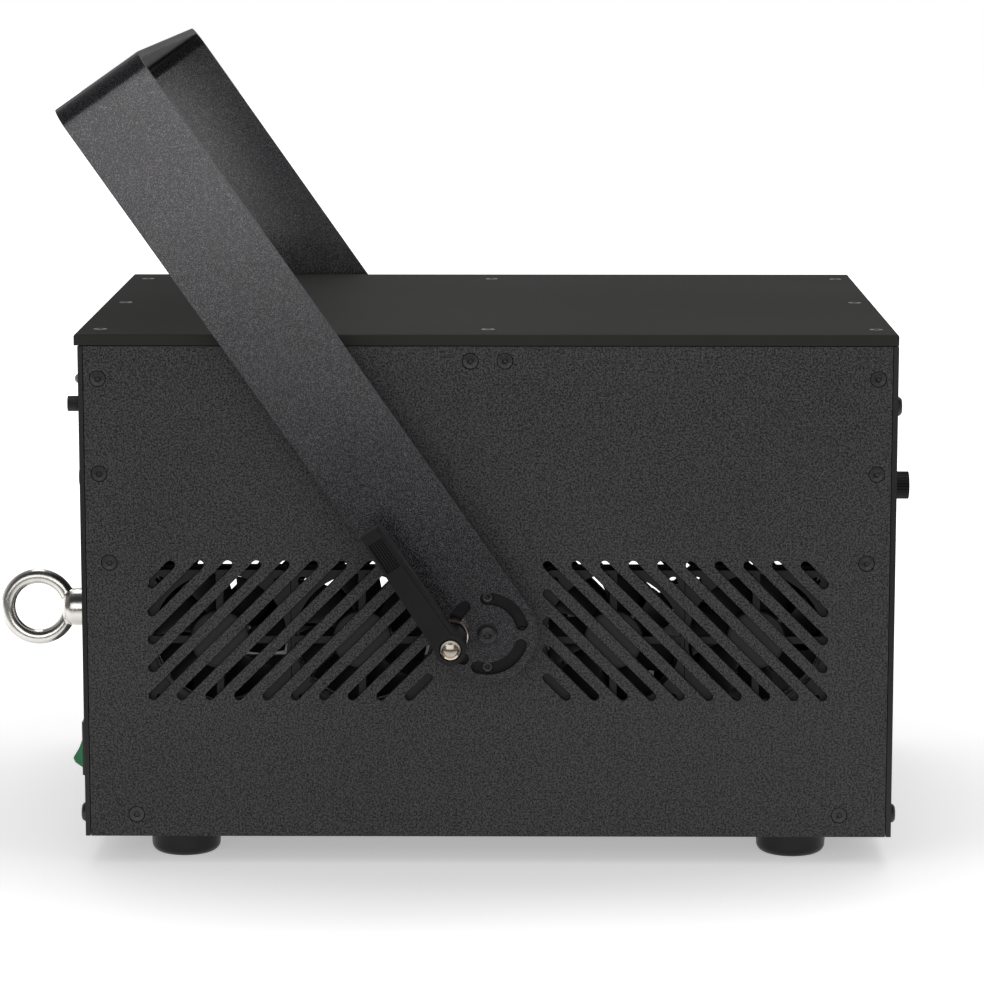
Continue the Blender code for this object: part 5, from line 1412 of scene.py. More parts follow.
@dataclass
class Clamps:
    """On each side: a bright insert through the arm's slot, a sprung lever and the screw that keeps it."""

    flange_radius: float = 0.0069
    angle: float = math.radians(33.5)
    hub_radius: float = 0.0064
    length: float = 0.059
    root_width: float = 0.011
    tip_width: float = 0.0092
    depth: float = 0.009
    tip_rise: float = 0.0025
    ledge_width: float = 0.0017
    ledge_drop: float = 0.0007
    grip: Flat = (0.0405, 0.0545)
    grip_depth: float = 0.0011
    grip_margins: Flat = (0.0011, 0.0006)
    ribs: int = 6
    rib_width: float = 0.48
    rib_height: float = 0.95
    rib_taper: float = 0.7
    rib_crown: float = 0.00015
    screw_radius: float = 0.0043
    crest: float = 0.0001
    core: float = 0.0038
    screw_well: float = 0.008
    screw_seat: float = 0.0025
    edge: float = 0.0004

    def width(self, z: float) -> float:
        """The lever's width at a height along it."""
        return self.root_width + (self.tip_width - self.root_width) * z / self.length

    def rise(self, z: float) -> float:
        """How far the lever's outer face rises at a height along it."""
        return self.tip_rise * z / self.length

    def section(self, z: float) -> list[Point]:
        """The arm's outline at a height along it, with its ledge, before it is placed."""
        half, out = self.width(z) / 2, self.rise(z)
        step = half - self.ledge_width
        low = out - self.depth
        flat = [(-half, low), (half, low), (half, out - self.ledge_drop), (step, out - self.ledge_drop)]
        flat += [(step, out - self.crest), (0, out), (-half, out - self.crest)]
        return [(x, y, z) for x, y in flat]

    def lever(self, hub_length: float) -> Shape:
        """The lever, with its outer face towards +Y and its hub's outer end at y = 0."""
        stations = [self.length * i / 6 for i in range(7)]
        arm = Shape().loft([self.section(z) for z in stations])
        hub = Shape().turn(cylinder(self.hub_radius, -hub_length, 0), Axis.Y, steps=64)
        arm.combine(hub, Join.ADD)
        near, far = self.grip_margins
        left = [-self.width(z) / 2 + near for z in self.grip]
        right = [self.width(z) / 2 - self.ledge_width - far for z in self.grip]
        well = []
        for z, a, b in zip(self.grip, left, right):
            floor, top = self.rise(z) - self.grip_depth, self.rise(z) + OVERRUN
            well.append([(a, floor, z), (b, floor, z), (b, top, z), (a, top, z)])
        arm.combine(Shape().loft(well), Join.CUT)
        core, screw, back = self.core, self.screw_radius + GAP, -hub_length - OVERRUN
        rings = [Ring(0, back), Ring(core, back), Ring(core, -self.screw_well)]
        rings += [Ring(screw, -self.screw_well), Ring(screw, OVERRUN), Ring(0, OVERRUN)]
        arm.combine(Shape().turn(rings, Axis.Y), Join.CUT)
        self.add_ribs(arm, left, right)
        return arm

    def add_ribs(self, arm: Shape, left: list[float], right: list[float]) -> None:
        """Adds the ribs along the floor of the grip's well."""
        low, high = self.grip
        pitch = (right[0] - left[0]) / self.ribs
        half = pitch * self.rib_width / 2
        top = half * self.rib_taper
        floor = self.rise(low) - self.grip_depth - GAP
        crest = floor + self.grip_depth * self.rib_height
        slope = (self.rise(high) - self.rise(low)) / (high - low)
        loops = []
        for z in (low - 0.0002, high + 0.0002):
            lift = slope * (z - low)
            flat = [(-half, floor), (half, floor), (top, crest), (0, crest + self.rib_crown), (-top, crest)]
            loops.append([(x, y + lift, z) for x, y in flat])
        rib = Shape().loft(loops)
        ribs = repeated(rib, self.ribs, LEVER_PLASTIC, (pitch, 0, 0))
        arm.add(ribs.move(Matrix.Translation((left[0] + pitch / 2, 0, 0))))

    def insert(self, stud_end: float, seat: float, core_end: float, at: Point, side: int) -> Shape:
        """The insert: a stud through the slot, a flange on the arm and a core that carries the lever."""
        rim, edge, wide = seat + 0.006, 0.00035, self.flange_radius
        neck = rim + 0.0045
        rings = [Ring(0, stud_end), Ring(0.0021, stud_end), Ring(0.0023, stud_end + 0.0002)]
        rings += [Ring(0.0023, seat), Ring(wide - edge, seat), Ring(wide, seat + edge)]
        rings += [Ring(wide, rim - edge), Ring(wide - edge, rim), Ring(0.0045, rim), Ring(0.0045, neck)]
        rings += [Ring(0.0035, neck), Ring(0.0035, core_end - 0.0003), Ring(0.0032, core_end)]
        rings += [Ring(0.0018, core_end), Ring(0.0018, core_end - 0.0063), Ring(0, core_end - 0.0063)]
        return Shape().turn(rings, Axis.Y, at, side, 64)

    def screw(self, tail: float, seat: float, end: float, at: Point, side: int) -> Shape:
        """The bright screw in the hub's end, with a raised rim round its shallow dome."""
        radius = self.screw_radius
        rings = [Ring(0, tail), Ring(0.0015, tail), Ring(0.0015, seat), Ring(radius - 0.0002, seat)]
        rings += [Ring(radius, seat + 0.0002), Ring(radius, end - 0.0004), Ring(radius - 0.00035, end)]
        rings += [Ring(radius - 0.0009, end - 0.0002), Ring(radius - 0.0012, end - 0.0008)]
        for i in range(1, 7):
            share = 1 - i / 6
            rings.append(Ring((radius - 0.0013) * share, end - 0.0008 + 0.0008 * (1 - share * share)))
        return Shape().turn(rings, Axis.Y, at, side, 56)

    def build(self) -> None:
        """Makes both clamps."""
        for hand, side in SIDES:
            insert, screw = Box.of(f"{hand}_clamp_insert"), Box.of(f"{hand}_clamp_screw")
            lever = Box.of(f"{hand}_clamp_lever")
            at = (CASE_MIDDLE - CLAMP_RING, 0, PIVOT_HEIGHT)
            span = sorted((abs(insert.low.y), abs(insert.high.y)))
            arm_outer = max(abs(value) for value in (Box.of("yoke").low.y, Box.of("yoke").high.y))
            made = self.insert(span[0], arm_outer + GAP, span[1], at, side)
            fit = Fit(f"{hand}_clamp", (f"{hand}_clamp_insert",))
            make_piece(f"{hand}_insert", made, NICKEL, fit, crease=30)
            ends = sorted((abs(lever.low.y), abs(lever.high.y)))
            hub_end = ends[1] - self.tip_rise
            made = self.lever(hub_end - ends[0])
            turn = Matrix.Rotation(-self.angle, 4, "Y")
            if side < 0:
                turn = turn @ Matrix.Diagonal((1, -1, 1, 1))
            made.move(Matrix.Translation((at[0], side * hub_end, at[2])) @ turn)
            fit = Fit(f"{hand}_clamp_lever", (f"{hand}_clamp_lever",))
            make_piece(f"{hand}_lever", made, LEVER_PLASTIC, fit, self.edge, 2, 40)
            span = sorted((abs(screw.low.y), abs(screw.high.y)))
            made = self.screw(span[0], hub_end - self.screw_seat, span[1], at, side)
            fit = Fit(f"{hand}_clamp", (f"{hand}_clamp_screw",))
            make_piece(f"{hand}_lever_screw", made, NICKEL, fit, crease=30)


@dataclass
class LiftingEye:
    """The forged and plated eye bolt on the rear panel, with its nut inside."""

    hole: float = 0.010
    wire: float = 0.00315
    collar_radius: float = 0.008
    collar_length: float = 0.008
    shank: float = 0.004
    thread_pitch: float = 0.00125
    thread_depth: float = 0.0005
    voxel: float = 0.00036
    smoothing: int = 5

    def build(self) -> None:
        """Makes the eye and its nut."""
        box = Box.of("lifting_eye")
        seat = Box.of("rear_panel").low.x - GAP
        y, z = box.middle.y, box.middle.z
        centre = (box.low.x + self.hole + 2 * self.wire, y, z)
        middle = self.hole + self.wire
        section = [Ring(r, h) for r, h in arc(self.wire, 28, (middle, 0))]
        ring = Shape().turn(section, Axis.Y, centre, steps=96)
        crown = -self.collar_length
        rings = [Ring(0, crown - 0.0021), Ring(0.0046, crown - 0.0019), Ring(0.0066, crown - 0.0008)]
        rings += [Ring(0.0077, crown + 0.0012), Ring(self.collar_radius, crown + 0.0032)]
        rings += [Ring(self.collar_radius, 0), Ring(0, 0)]
        collar = Shape().turn(rings, Axis.X, (seat, y, z), steps=64)
        bore = Shape().turn(cylinder(self.hole, -0.02, 0.02), Axis.Y, centre, steps=96)
        ring.combine(collar.combine(bore, Join.CUT), Join.ADD)
        ring.forge(self.voxel, self.smoothing)
        tail = box.high.x - seat
        thread = [Ring(0, 0)]
        for i in range(2 * int(tail / self.thread_pitch)):
            radius = self.shank - (self.thread_depth if i % 2 else 0.0)
            thread.append(Ring(radius, self.thread_pitch / 2 * (i + 0.2)))
        thread += [Ring(self.shank - 0.0008, tail), Ring(0, tail)]
        ring.add(Shape().turn(thread, Axis.X, (seat - 0.0006, y, z), steps=40))
        make_piece("forged_eye", ring, PLATED_STEEL, Fit(CASE_BODY, ("lifting_eye",)), crease=40)
        nut = Shape.of("lifting_eye_nut")
        make_piece("eye_nut", nut, PLATED_STEEL, Fit(CASE_BODY, ("lifting_eye_nut",)), 0.0005, 2, 40)


@dataclass(frozen=True)
class EasedPart:
    """A part whose solid already has its shape, and gets its edges eased and its finish."""

    node: str
    name: str
    finish: Finish
    body: str = CASE_BODY
    rounding: float = 0.0004
    crease: float = CREASE

    def build(self) -> None:
        """Makes the piece."""
        fit = Fit(self.body, (self.node,))
        make_piece(self.name, Shape.of(self.node), self.finish, fit, self.rounding, 2, self.crease)


@dataclass
class FanBank:
    """The fans behind the right side's vents, each a barrel between two flanges with a bladed rotor."""

    count: int = 4
    bore: float = 0.0285
    barrel: float = 0.0297
    flange: float = 0.0034
    corner: float = 0.0045
    hole_spacing: float = 0.050
    hole: float = 0.0021
    hub: float = 0.0125
    hub_plate: float = 0.0025
    pin: float = 0.0020
    strut: float = 0.0030
    label_radius: float = 0.0108
    label_film: float = 0.0001
    edge: float = 0.0005
    rotor_edge: float = 0.0012
    rotor_wall: float = 0.0014
    blades: int = 7
    blade_wall: float = 0.0006
    tip: float = 0.0273
    chords: Flat = (0.0140, 0.0205)
    pitches: Flat = (math.radians(36), math.radians(24))
    sweep: float = math.radians(16)
    twist: float = 0.7

    def frame(self, size: float, depth: float) -> Shape:
        """The frame, with its outer face at z = 0 and the rest of it below."""
        half = self.hole_spacing / 2
        openings = [Opening((a * half, b * half), 2 * self.hole) for a in (-1, 1) for b in (-1, 1)]
        openings.append(Opening((0, 0), 2 * self.bore))
        outline = rounded_rectangle(size, size, self.corner, steps=5)
        inner = self.bore + GAP
        low, high = -depth + self.flange / 2, -self.flange / 2
        rings = [Ring(inner, low), Ring(self.barrel, low), Ring(self.barrel, high), Ring(inner, high)]
        whole = Shape().turn(rings, Axis.Z, steps=72)
        for height in (-self.flange, -depth):
            plate = pierced_plate([outline], openings, self.flange, FAN_PLASTIC, steps=14)
            whole.combine(plate.move(Matrix.Translation((0, 0, height))), Join.ADD)
        half = self.strut / 2
        arm = Shape().box((self.hub - 0.001, -half, -self.hub_plate), (self.bore + 2 * GAP, half, -GAP))
        whole.combine(repeated(arm, 4, FAN_PLASTIC, turn=math.pi / 2), Join.ADD)
        tail = 0.002 - depth
        rings = [Ring(0, tail), Ring(self.pin, tail), Ring(self.pin, -self.hub_plate)]
        rings += [Ring(self.hub, -self.hub_plate), Ring(self.hub, -self.edge)]
        rings += [Ring(self.hub - self.edge, 0), Ring(0, 0)]
        return whole.combine(Shape().turn(rings, Axis.Z, steps=56), Join.ADD)

    def blade(self, middle: float) -> Shape:
        """One blade, twisted and swept, thickest along its middle."""
        loops = []
        root = self.hub - 0.0008
        for station in range(7):
            share = station / 6
            radius = root + (self.tip - root) * share
            chord, pitch = (a + (b - a) * share for a, b in (self.chords, self.pitches))
            loop = []
            for point in range(16):
                angle = math.pi / 8 * point
                along = math.cos(angle) * chord / 2
                turned = self.sweep * share + along * math.cos(pitch) / radius
                rise = middle + along * math.sin(pitch) + self.blade_wall * math.sin(angle)
                loop.append((radius * math.cos(turned), radius * math.sin(turned), rise))
            loops.append(loop)
        return Shape().loft(loops)

    def rotor(self, depth: float) -> Shape:
        """The hub with its ring of blades, in the frame's own place."""
        start, end = -self.hub_plate - GAP, GAP - depth
        hole, floor, edge = self.pin + GAP, end + self.rotor_wall + GAP, self.rotor_edge
        rings = [Ring(0, floor), Ring(hole, floor), Ring(hole, start), Ring(self.hub, start)]
        rings += [Ring(self.hub, end + edge), Ring(self.hub - edge, end), Ring(0, end)]
        hub = Shape().turn(rings, Axis.Z, steps=56)
        blade = self.blade((start + end) / 2)
        ring = repeated(blade, self.blades, FAN_PLASTIC, turn=2 * math.pi / self.blades)
        return hub.combine(ring, Join.ADD)

    def build(self) -> None:
        """Makes every fan and its label."""
        upright = Matrix.Rotation(math.pi / 2, 4, "X")
        seats = []
        for number in range(1, self.count + 1):
            box = Box.of(f"fan_frame_{number}")
            spin = Matrix.Rotation(self.twist * number, 4, "Z")
            place = Matrix.Translation((box.middle.x, box.low.y, box.middle.z)) @ upright
            frame_shape = self.frame(box.size.x, box.size.y).move(place)
            fit = Fit(CASE_BODY, (f"fan_frame_{number}",))
            make_piece(f"fan_{number}_frame", frame_shape, FAN_PLASTIC, fit, crease=30)
            body = f"fan_rotor_{number}"
            rotor = self.rotor(box.size.y).move(place @ spin)
            make_piece(f"fan_{number}_rotor", rotor, FAN_PLASTIC, Fit(body, (body,)), crease=30)
            seats.append(Seat((box.middle.x, box.low.y, box.middle.z), (0, -1, 0)))
        label = Shape().turn(cylinder(self.label_radius, 0, self.label_film), Axis.Z)
        placed_pieces("fan_labels", label, seats, LABEL_FILM, Fit(CASE_BODY))


@dataclass
class RearFittings:
    """The switch, sockets, ports, display, buttons, key switch, knob and lamp on the rear panel."""

    screw: Screw = Screw(
        radius=0.0028, proud=0.0010, socket=0.0010, socket_depth=0.0009, shank=0.0014, length=0.004
    )
    twist: float = 0.6
    flange_corner: float = 0.0024
    collar: Flat = (0.0108, 0.0006)
    cup: Flat = (0.0078, 0.0125)
    core: float = 0.0071
    pin_circle: float = 0.0037
    pin: float = 0.0012
    socket_screws: Flat = (0.0100, 0.0125)
    knob_teeth: int = 26
    knob_tooth: float = 0.00025
    button_radius: float = 0.0035
    contact_pitch: float = 0.00276
    network_pitch: float = 0.00102
    lamp: Point = (-0.1110, 0.2060, 0.0021)

    def seat(self) -> float:
        """Where the fittings rest on the rear panel, along X."""
        return Box.of("rear_panel").low.x - GAP

    def screws(self, name: str, face: float, spots: Iterable[Flat]) -> None:
        """Sets small screws on a fitting's face, at places across and up."""
        face_screws(name, self.screw, face, -1, spots, self.twist)

    def pin_places(self, y: float, z: float) -> list[Flat]:
        """The centres of a three-pin connector's pins."""
        angles = [math.radians(value) for value in (20, 160, 270)]
        return [(y + self.pin_circle * math.cos(a), z + self.pin_circle * math.sin(a)) for a in angles]

    def build_socket(self, node: str, has_pins: bool) -> None:
        """Makes one round connector on its flange."""
        box = Box.of(node)
        y, z = box.middle.y, box.middle.z
        face, end, at = box.low.x, box.high.x, (0, y, z)
        outline = rounded_rectangle(box.size.y, box.size.z, self.flange_corner, (y, z), 6)
        whole = Shape().pull(outline, Axis.X, face, self.seat())
        collar, rise = self.collar
        rings = [Ring(0, end), Ring(0.0115, end), Ring(0.0115, face)]
        rings += [Ring(collar, face - rise), Ring(0, face - rise)]
        whole.combine(Shape().turn(rings, Axis.X, at, steps=56), Join.ADD)
        cup, depth = self.cup
        floor = face + depth
        hollow = cylinder(cup, face - 0.01, floor)
        whole.combine(Shape().turn(hollow, Axis.X, at, steps=56), Join.CUT)
        places = self.pin_places(y, z)
        if has_pins:
            seats = [Seat((floor, a, b), (-1, 0, 0)) for a, b in places]
            rings = [Ring(0, -0.001), Ring(self.pin, -0.001), Ring(self.pin, 0.0066)]
            rings += [Ring(0.0007, 0.0075), Ring(0, 0.0076)]
            pin = Shape().turn(rings, Axis.Z, steps=20)
            placed_pieces(f"{node}_pins", pin, seats, GOLD_PLATE, Fit(CASE_BODY))
        else:
            rings = [Ring(0, floor + 0.001), Ring(self.core, floor + 0.001), Ring(self.core, face + 0.0004)]
            core = Shape().turn(rings + [Ring(self.core - 0.0004, face), Ring(0, face)], Axis.X, at, steps=56)
            holes = Shape()
            for a, b in places:
                hole = cylinder(self.pin + GAP, face - OVERRUN, face + 0.008)
                holes.turn(hole, Axis.X, (0, a, b), steps=20)
            whole.combine(core.combine(holes, Join.CUT), Join.ADD)
        make_piece(f"{node}_socket", whole, BLACK_STEEL, Fit(CASE_BODY, (node,)), 0.0003, 2, 40)
        a, b = self.socket_screws
        self.screws(f"{node}_screws", face, [(y - a, z + b), (y + a, z - b)])

    def build_ports(self) -> None:
        """Makes the mains inlet, the signal port and the network port."""
        for node, name, finish in (
            ("power_inlet", "mains_inlet", FITTING_PLASTIC),
            ("signal_port", "wide_signal_port", PLATED_STEEL),
            ("network_port", "network_jack", FITTING_PLASTIC),
        ):
            EasedPart(node, name, finish, rounding=0.0003).build()
        inlet, signal = Box.of("power_inlet"), Box.of("signal_port")
        y, z = inlet.middle.y, inlet.middle.z
        self.screws("inlet_screws", inlet.low.x, [(y - 0.020, z), (y + 0.020, z)])
        y, z = signal.middle.y, signal.middle.z
        flange = self.seat() - 0.001
        rings = [Ring(0, 0), Ring(0.0024, 0, 6), Ring(0.0024, 0.0044, 6), Ring(0.0020, 0.0048)]
        rings += [Ring(0.0011, 0.0048), Ring(0.0011, 0.0020), Ring(0, 0.0020)]
        post = Shape().turn(rings, Axis.Z, steps=36)
        seats = [Seat((flange, y + a * 0.0235, z), (-1, 0, 0)) for a in (-1, 1)]
        placed_pieces("signal_port_posts", post, seats, PLATED_STEEL, Fit(CASE_BODY))
        pitch = self.contact_pitch
        contact = Shape().turn(cylinder(0.0006, 0, 0.0002), Axis.Z, steps=16)
        spots = [(y + pitch * (i - 6), z + 0.0014) for i in range(13)]
        spots += [(y + pitch * (i - 5.5), z - 0.0014) for i in range(12)]
        seats = [Seat((signal.low.x, a, b), (-1, 0, 0)) for a, b in spots]
        placed_pieces("signal_contacts", contact, seats, GOLD_PLATE, Fit(CASE_BODY))
        network = Box.of("network_port")
        pitch = self.network_pitch
        first = network.middle.y - 3.5 * pitch
        low = (network.low.x + 0.0020, first - 0.0002, network.middle.z + 0.0026)
        high = (network.low.x + 0.0100, first + 0.0002, network.middle.z + 0.0031)
        contacts = repeated(Shape().box(low, high), 8, GOLD_PLATE, (0, pitch, 0))
        make_piece("network_contacts", contacts, GOLD_PLATE, Fit(CASE_BODY))

    def build_display(self) -> None:
        """Makes the display, its glass and the menu buttons."""
        box = Box.of("display_module")
        y, z, face = box.middle.y, box.middle.z, box.low.x
        depth = 0.0007
        housing = Shape.of("display_module")
        outline = rounded_rectangle(0.062, 0.0185, 0.0008, (y, z))
        housing.combine(Shape().pull(outline, Axis.X, face - OVERRUN, face + depth), Join.CUT)
        make_piece("display_housing", housing, FITTING_PLASTIC, Fit(CASE_BODY, ("display_module",)), 0.0003)
        outline = rounded_rectangle(0.0616, 0.0181, 0.0007, (y, z))
        pane = Shape().pull(outline, Axis.X, face + depth / 3, face + depth)
        make_piece("display_glass", pane, DISPLAY_GLASS, Fit(CASE_BODY), 0.0001, 1)
        for number in range(1, 5):
            node = f"menu_button_{number}"
            box = Box.of(node)
            front, back, radius = box.low.x, box.high.x, self.button_radius
            skirt = back - 0.0015
            rings = [Ring(0, front), Ring(radius * 0.5, front + 0.00012)]
            rings += [Ring(radius - 0.0006, front + 0.00035), Ring(radius - 0.00015, front + 0.0007)]
            rings += [Ring(radius, front + 0.0013), Ring(radius, skirt)]
            rings += [Ring(0.0047, skirt), Ring(0.0047, back), Ring(0, back)]
            cap = Shape().turn(rings, Axis.X, (0, box.middle.y, box.middle.z), steps=40)
            make_piece(f"button_cap_{number}", cap, FITTING_PLASTIC, Fit(node, (node,)), crease=40)

    def build_controls(self) -> None:
        """Makes the rocker switch, the knurled knob, the lamp and the key switch."""
        EasedPart("switch_bezel", "rocker_bezel", FITTING_PLASTIC, rounding=0.0005).build()
        EasedPart("power_rocker", "green_rocker", ROCKER_PLASTIC, "power_rocker", 0.0004, 45.0).build()
        box = Box.of("level_knob")
        centre = (box.middle.y, box.middle.z)
        seat = self.seat()
        outline = knurled(box.size.y / 2, self.knob_teeth, self.knob_tooth, centre)
        knob = Shape().pull(outline, Axis.X, box.low.x, seat)
        shaft = cylinder(0.0015, seat - 0.001, box.high.x)
        knob.combine(Shape().turn(shaft, Axis.X, (0, *centre), steps=24), Join.ADD)
        make_piece("knurled_knob", knob, FITTING_PLASTIC, Fit("level_knob", ("level_knob",)), 0.0002, 2)
        y, z, radius = self.lamp
        angles = [0.3 * i for i in range(5)]
        rings = [Ring(0, 0.001), Ring(radius, 0.001)]
        rings += [Ring(radius * math.cos(a), -radius * math.sin(a) - 0.0006) for a in angles]
        rings.append(Ring(0, -radius - 0.0006))
        lens = Shape().turn(rings, Axis.X, (seat + GAP, y, z), steps=36)
        make_piece("power_lamp", lens, LAMP_LENS, Fit(CASE_BODY), crease=40)
        box = Box.of("key_switch_barrel")
        at, head = (0, box.middle.y, box.middle.z), box.low.x
        way, lip = head + 0.016, head + 0.0006
        rings = [Ring(0, way), Ring(0.0026, way), Ring(0.0026, lip), Ring(0.0060, lip)]
        rings += [Ring(0.0066, head), Ring(0.0086, head), Ring(0.0095, head + 0.0009), Ring(0.0095, seat)]
        rings += [Ring(0.006, seat), Ring(0.006, box.high.x), Ring(0, box.high.x)]
        barrel = Shape().turn(rings, Axis.X, at, steps=64)
        make_piece("key_switch_body", barrel, PLATED_STEEL, Fit(CASE_BODY, ("key_switch_barrel",)), crease=30)
        EasedPart("key", "plated_key", NICKEL, "key", 0.0005, 40.0).build()

    def build(self) -> None:
        """Makes every fitting."""
        self.build_socket("dmx_input", True)
        self.build_socket("dmx_output", False)
        self.build_ports()
        self.build_display()
        self.build_controls()


@dataclass
class BeamExit:
    """The window that the beam leaves by, the mask over it and the mask's two thumb screws."""

    grip: Flat = (0.006, 0.007)
    shoulder: Flat = (0.004, 0.0018)
    shank: float = 0.002
    teeth: int = 30
    tooth: float = 0.00035

    def build(self) -> None:
        """Makes the window, the mask and the screws."""
        EasedPart("exit_window", "coated_window", WINDOW_GLASS, rounding=0.0002).build()
        EasedPart("aperture_mask", "height_mask", END_COAT, "aperture_mask", 0.0005).build()
        radius, length = self.grip
        for hand, _ in SIDES:
            node = f"{hand}_thumb_screw"
            box = Box.of(node)
            centre = (box.middle.y, box.middle.z)
            start = box.high.x - length
            head = Shape().pull(knurled(radius, self.teeth, self.tooth, centre), Axis.X, start, box.high.x)
            wide, step = self.shoulder[0], start - self.shoulder[1]
            rings = [Ring(0, box.low.x), Ring(self.shank, box.low.x), Ring(self.shank, step)]
            rings += [Ring(wide, step), Ring(wide, start + GAP), Ring(0, start + GAP)]
            head.combine(Shape().turn(rings, Axis.X, (0, *centre), steps=40), Join.ADD)
            make_piece(f"{hand}_knurled_screw", head, BLACK_STEEL, Fit(node, (node,)), 0.0003, 2)


@dataclass
class OpticsBench:
    """The optical plate with its lasers, mirrors and scanner, glimpsed through the vents and the window."""

    fins: int = 12
    fin_pitch: float = 0.0056
    first_groove: float = 0.0070
    groove: Flat = (0.0026, 0.0060)

    def build_laser(self, node: str) -> None:
        """Makes one laser with cooling fins along its top."""
        box = Box.of(node)
        width, depth = self.groove
        first = box.low.x + self.first_groove
        low = (first, box.low.y - OVERRUN, box.high.z - depth)
        high = (first + width, box.high.y + OVERRUN, box.high.z + OVERRUN)
        grooves = repeated(Shape().box(low, high), self.fins, DARK_ALUMINIUM, (self.fin_pitch, 0, 0))
        module = Shape.of(node).combine(grooves, Join.CUT)
        make_piece(f"{node}_module", module, DARK_ALUMINIUM, Fit(CASE_BODY, (node,)), 0.0003, 1)

    def build(self) -> None:
        """Makes the bench."""
        for node in ("blue_laser", "green_laser", "red_laser"):
            self.build_laser(node)
        EasedPart("optical_plate", "milled_plate", BARE_ALUMINIUM).build()
        EasedPart("mirror_rail", "combining_mirrors", BLACK_STEEL, rounding=0.0002).build()
        EasedPart("scanner_block", "scanner_body", BARE_ALUMINIUM, rounding=0.0003).build()
        for hand in ("horizontal", "vertical"):
            node = f"{hand}_scan_mirror"
            EasedPart(node, f"{hand}_galvo_mirror", MIRROR_COAT, node, 0.0001).build()


@dataclass
class Electronics:
    """The power supply and the control board with its parts."""

    terminal: Point = (0.0105, 0.0080, 0.0110)
    terminals: int = 5
    chip: Point = (0.014, 0.010, 0.0016)
    chips: int = 4
    capacitor: Flat = (0.004, 0.011)
    capacitors: int = 5

    def build(self) -> None:
        """Makes the supply, the board and the parts on them."""
        EasedPart("power_supply", "supply_case", BARE_ALUMINIUM, rounding=0.0008).build()
        EasedPart("control_board", "controller", BOARD_MASK, rounding=0.0001).build()
        supply, board = Box.of("power_supply"), Box.of("control_board")
        length, depth, height = self.terminal
        low = Vector((supply.high.x - 0.001, supply.low.y + 0.006, supply.low.z + 0.006))
        block = Shape().box(low, low + Vector((depth, length, height)))
        row = repeated(block, self.terminals, CHIP_RESIN, (0, length + 0.0008, 0))
        make_piece("supply_terminals", row, CHIP_RESIN, Fit(CASE_BODY), 0.0003, 1)
        length, depth, height = self.chip
        low = Vector((board.low.x + 0.010, board.low.y + 0.012, board.high.z))
        chip = Shape().box(low, low + Vector((length, depth, height)))
        chips = repeated(chip, self.chips, CHIP_RESIN, (0.020, 0.004, 0))
        make_piece("board_chips", chips, CHIP_RESIN, Fit(CASE_BODY), 0.0002, 1)
        radius, height = self.capacitor
        place = (board.low.x + 0.012, board.high.y - 0.014, board.high.z)
        rings = [Ring(0, 0), Ring(radius, 0), Ring(radius, height - 0.0006)]
        rings += [Ring(radius - 0.0006, height), Ring(0, height)]
        can = Shape().turn(rings, Axis.Z, place, steps=28)
        cans = repeated(can, self.capacitors, BARE_ALUMINIUM, (0.0155, 0, 0))
        make_piece("board_capacitors", cans, BARE_ALUMINIUM, Fit(CASE_BODY), crease=30)


@dataclass(frozen=True)
class SoftLamp:
    """A soft lamp: its name, its place, what it faces, its size and its power in watts."""

    name: str
    place: Point
    target: Point
    size: Flat
    power: float

    def hang(self) -> None:
        """Hangs the lamp."""
        data = bpy.data.lights.new(self.name, "AREA")
        data.shape, data.energy = "RECTANGLE", self.power
        data.size, data.size_y = self.size
        lamp = shown(self.name, data)
        lamp.location = self.place
        facing = Vector(self.target) - Vector(self.place)
        lamp.rotation_euler = facing.to_track_quat("-Z", "Y").to_euler()


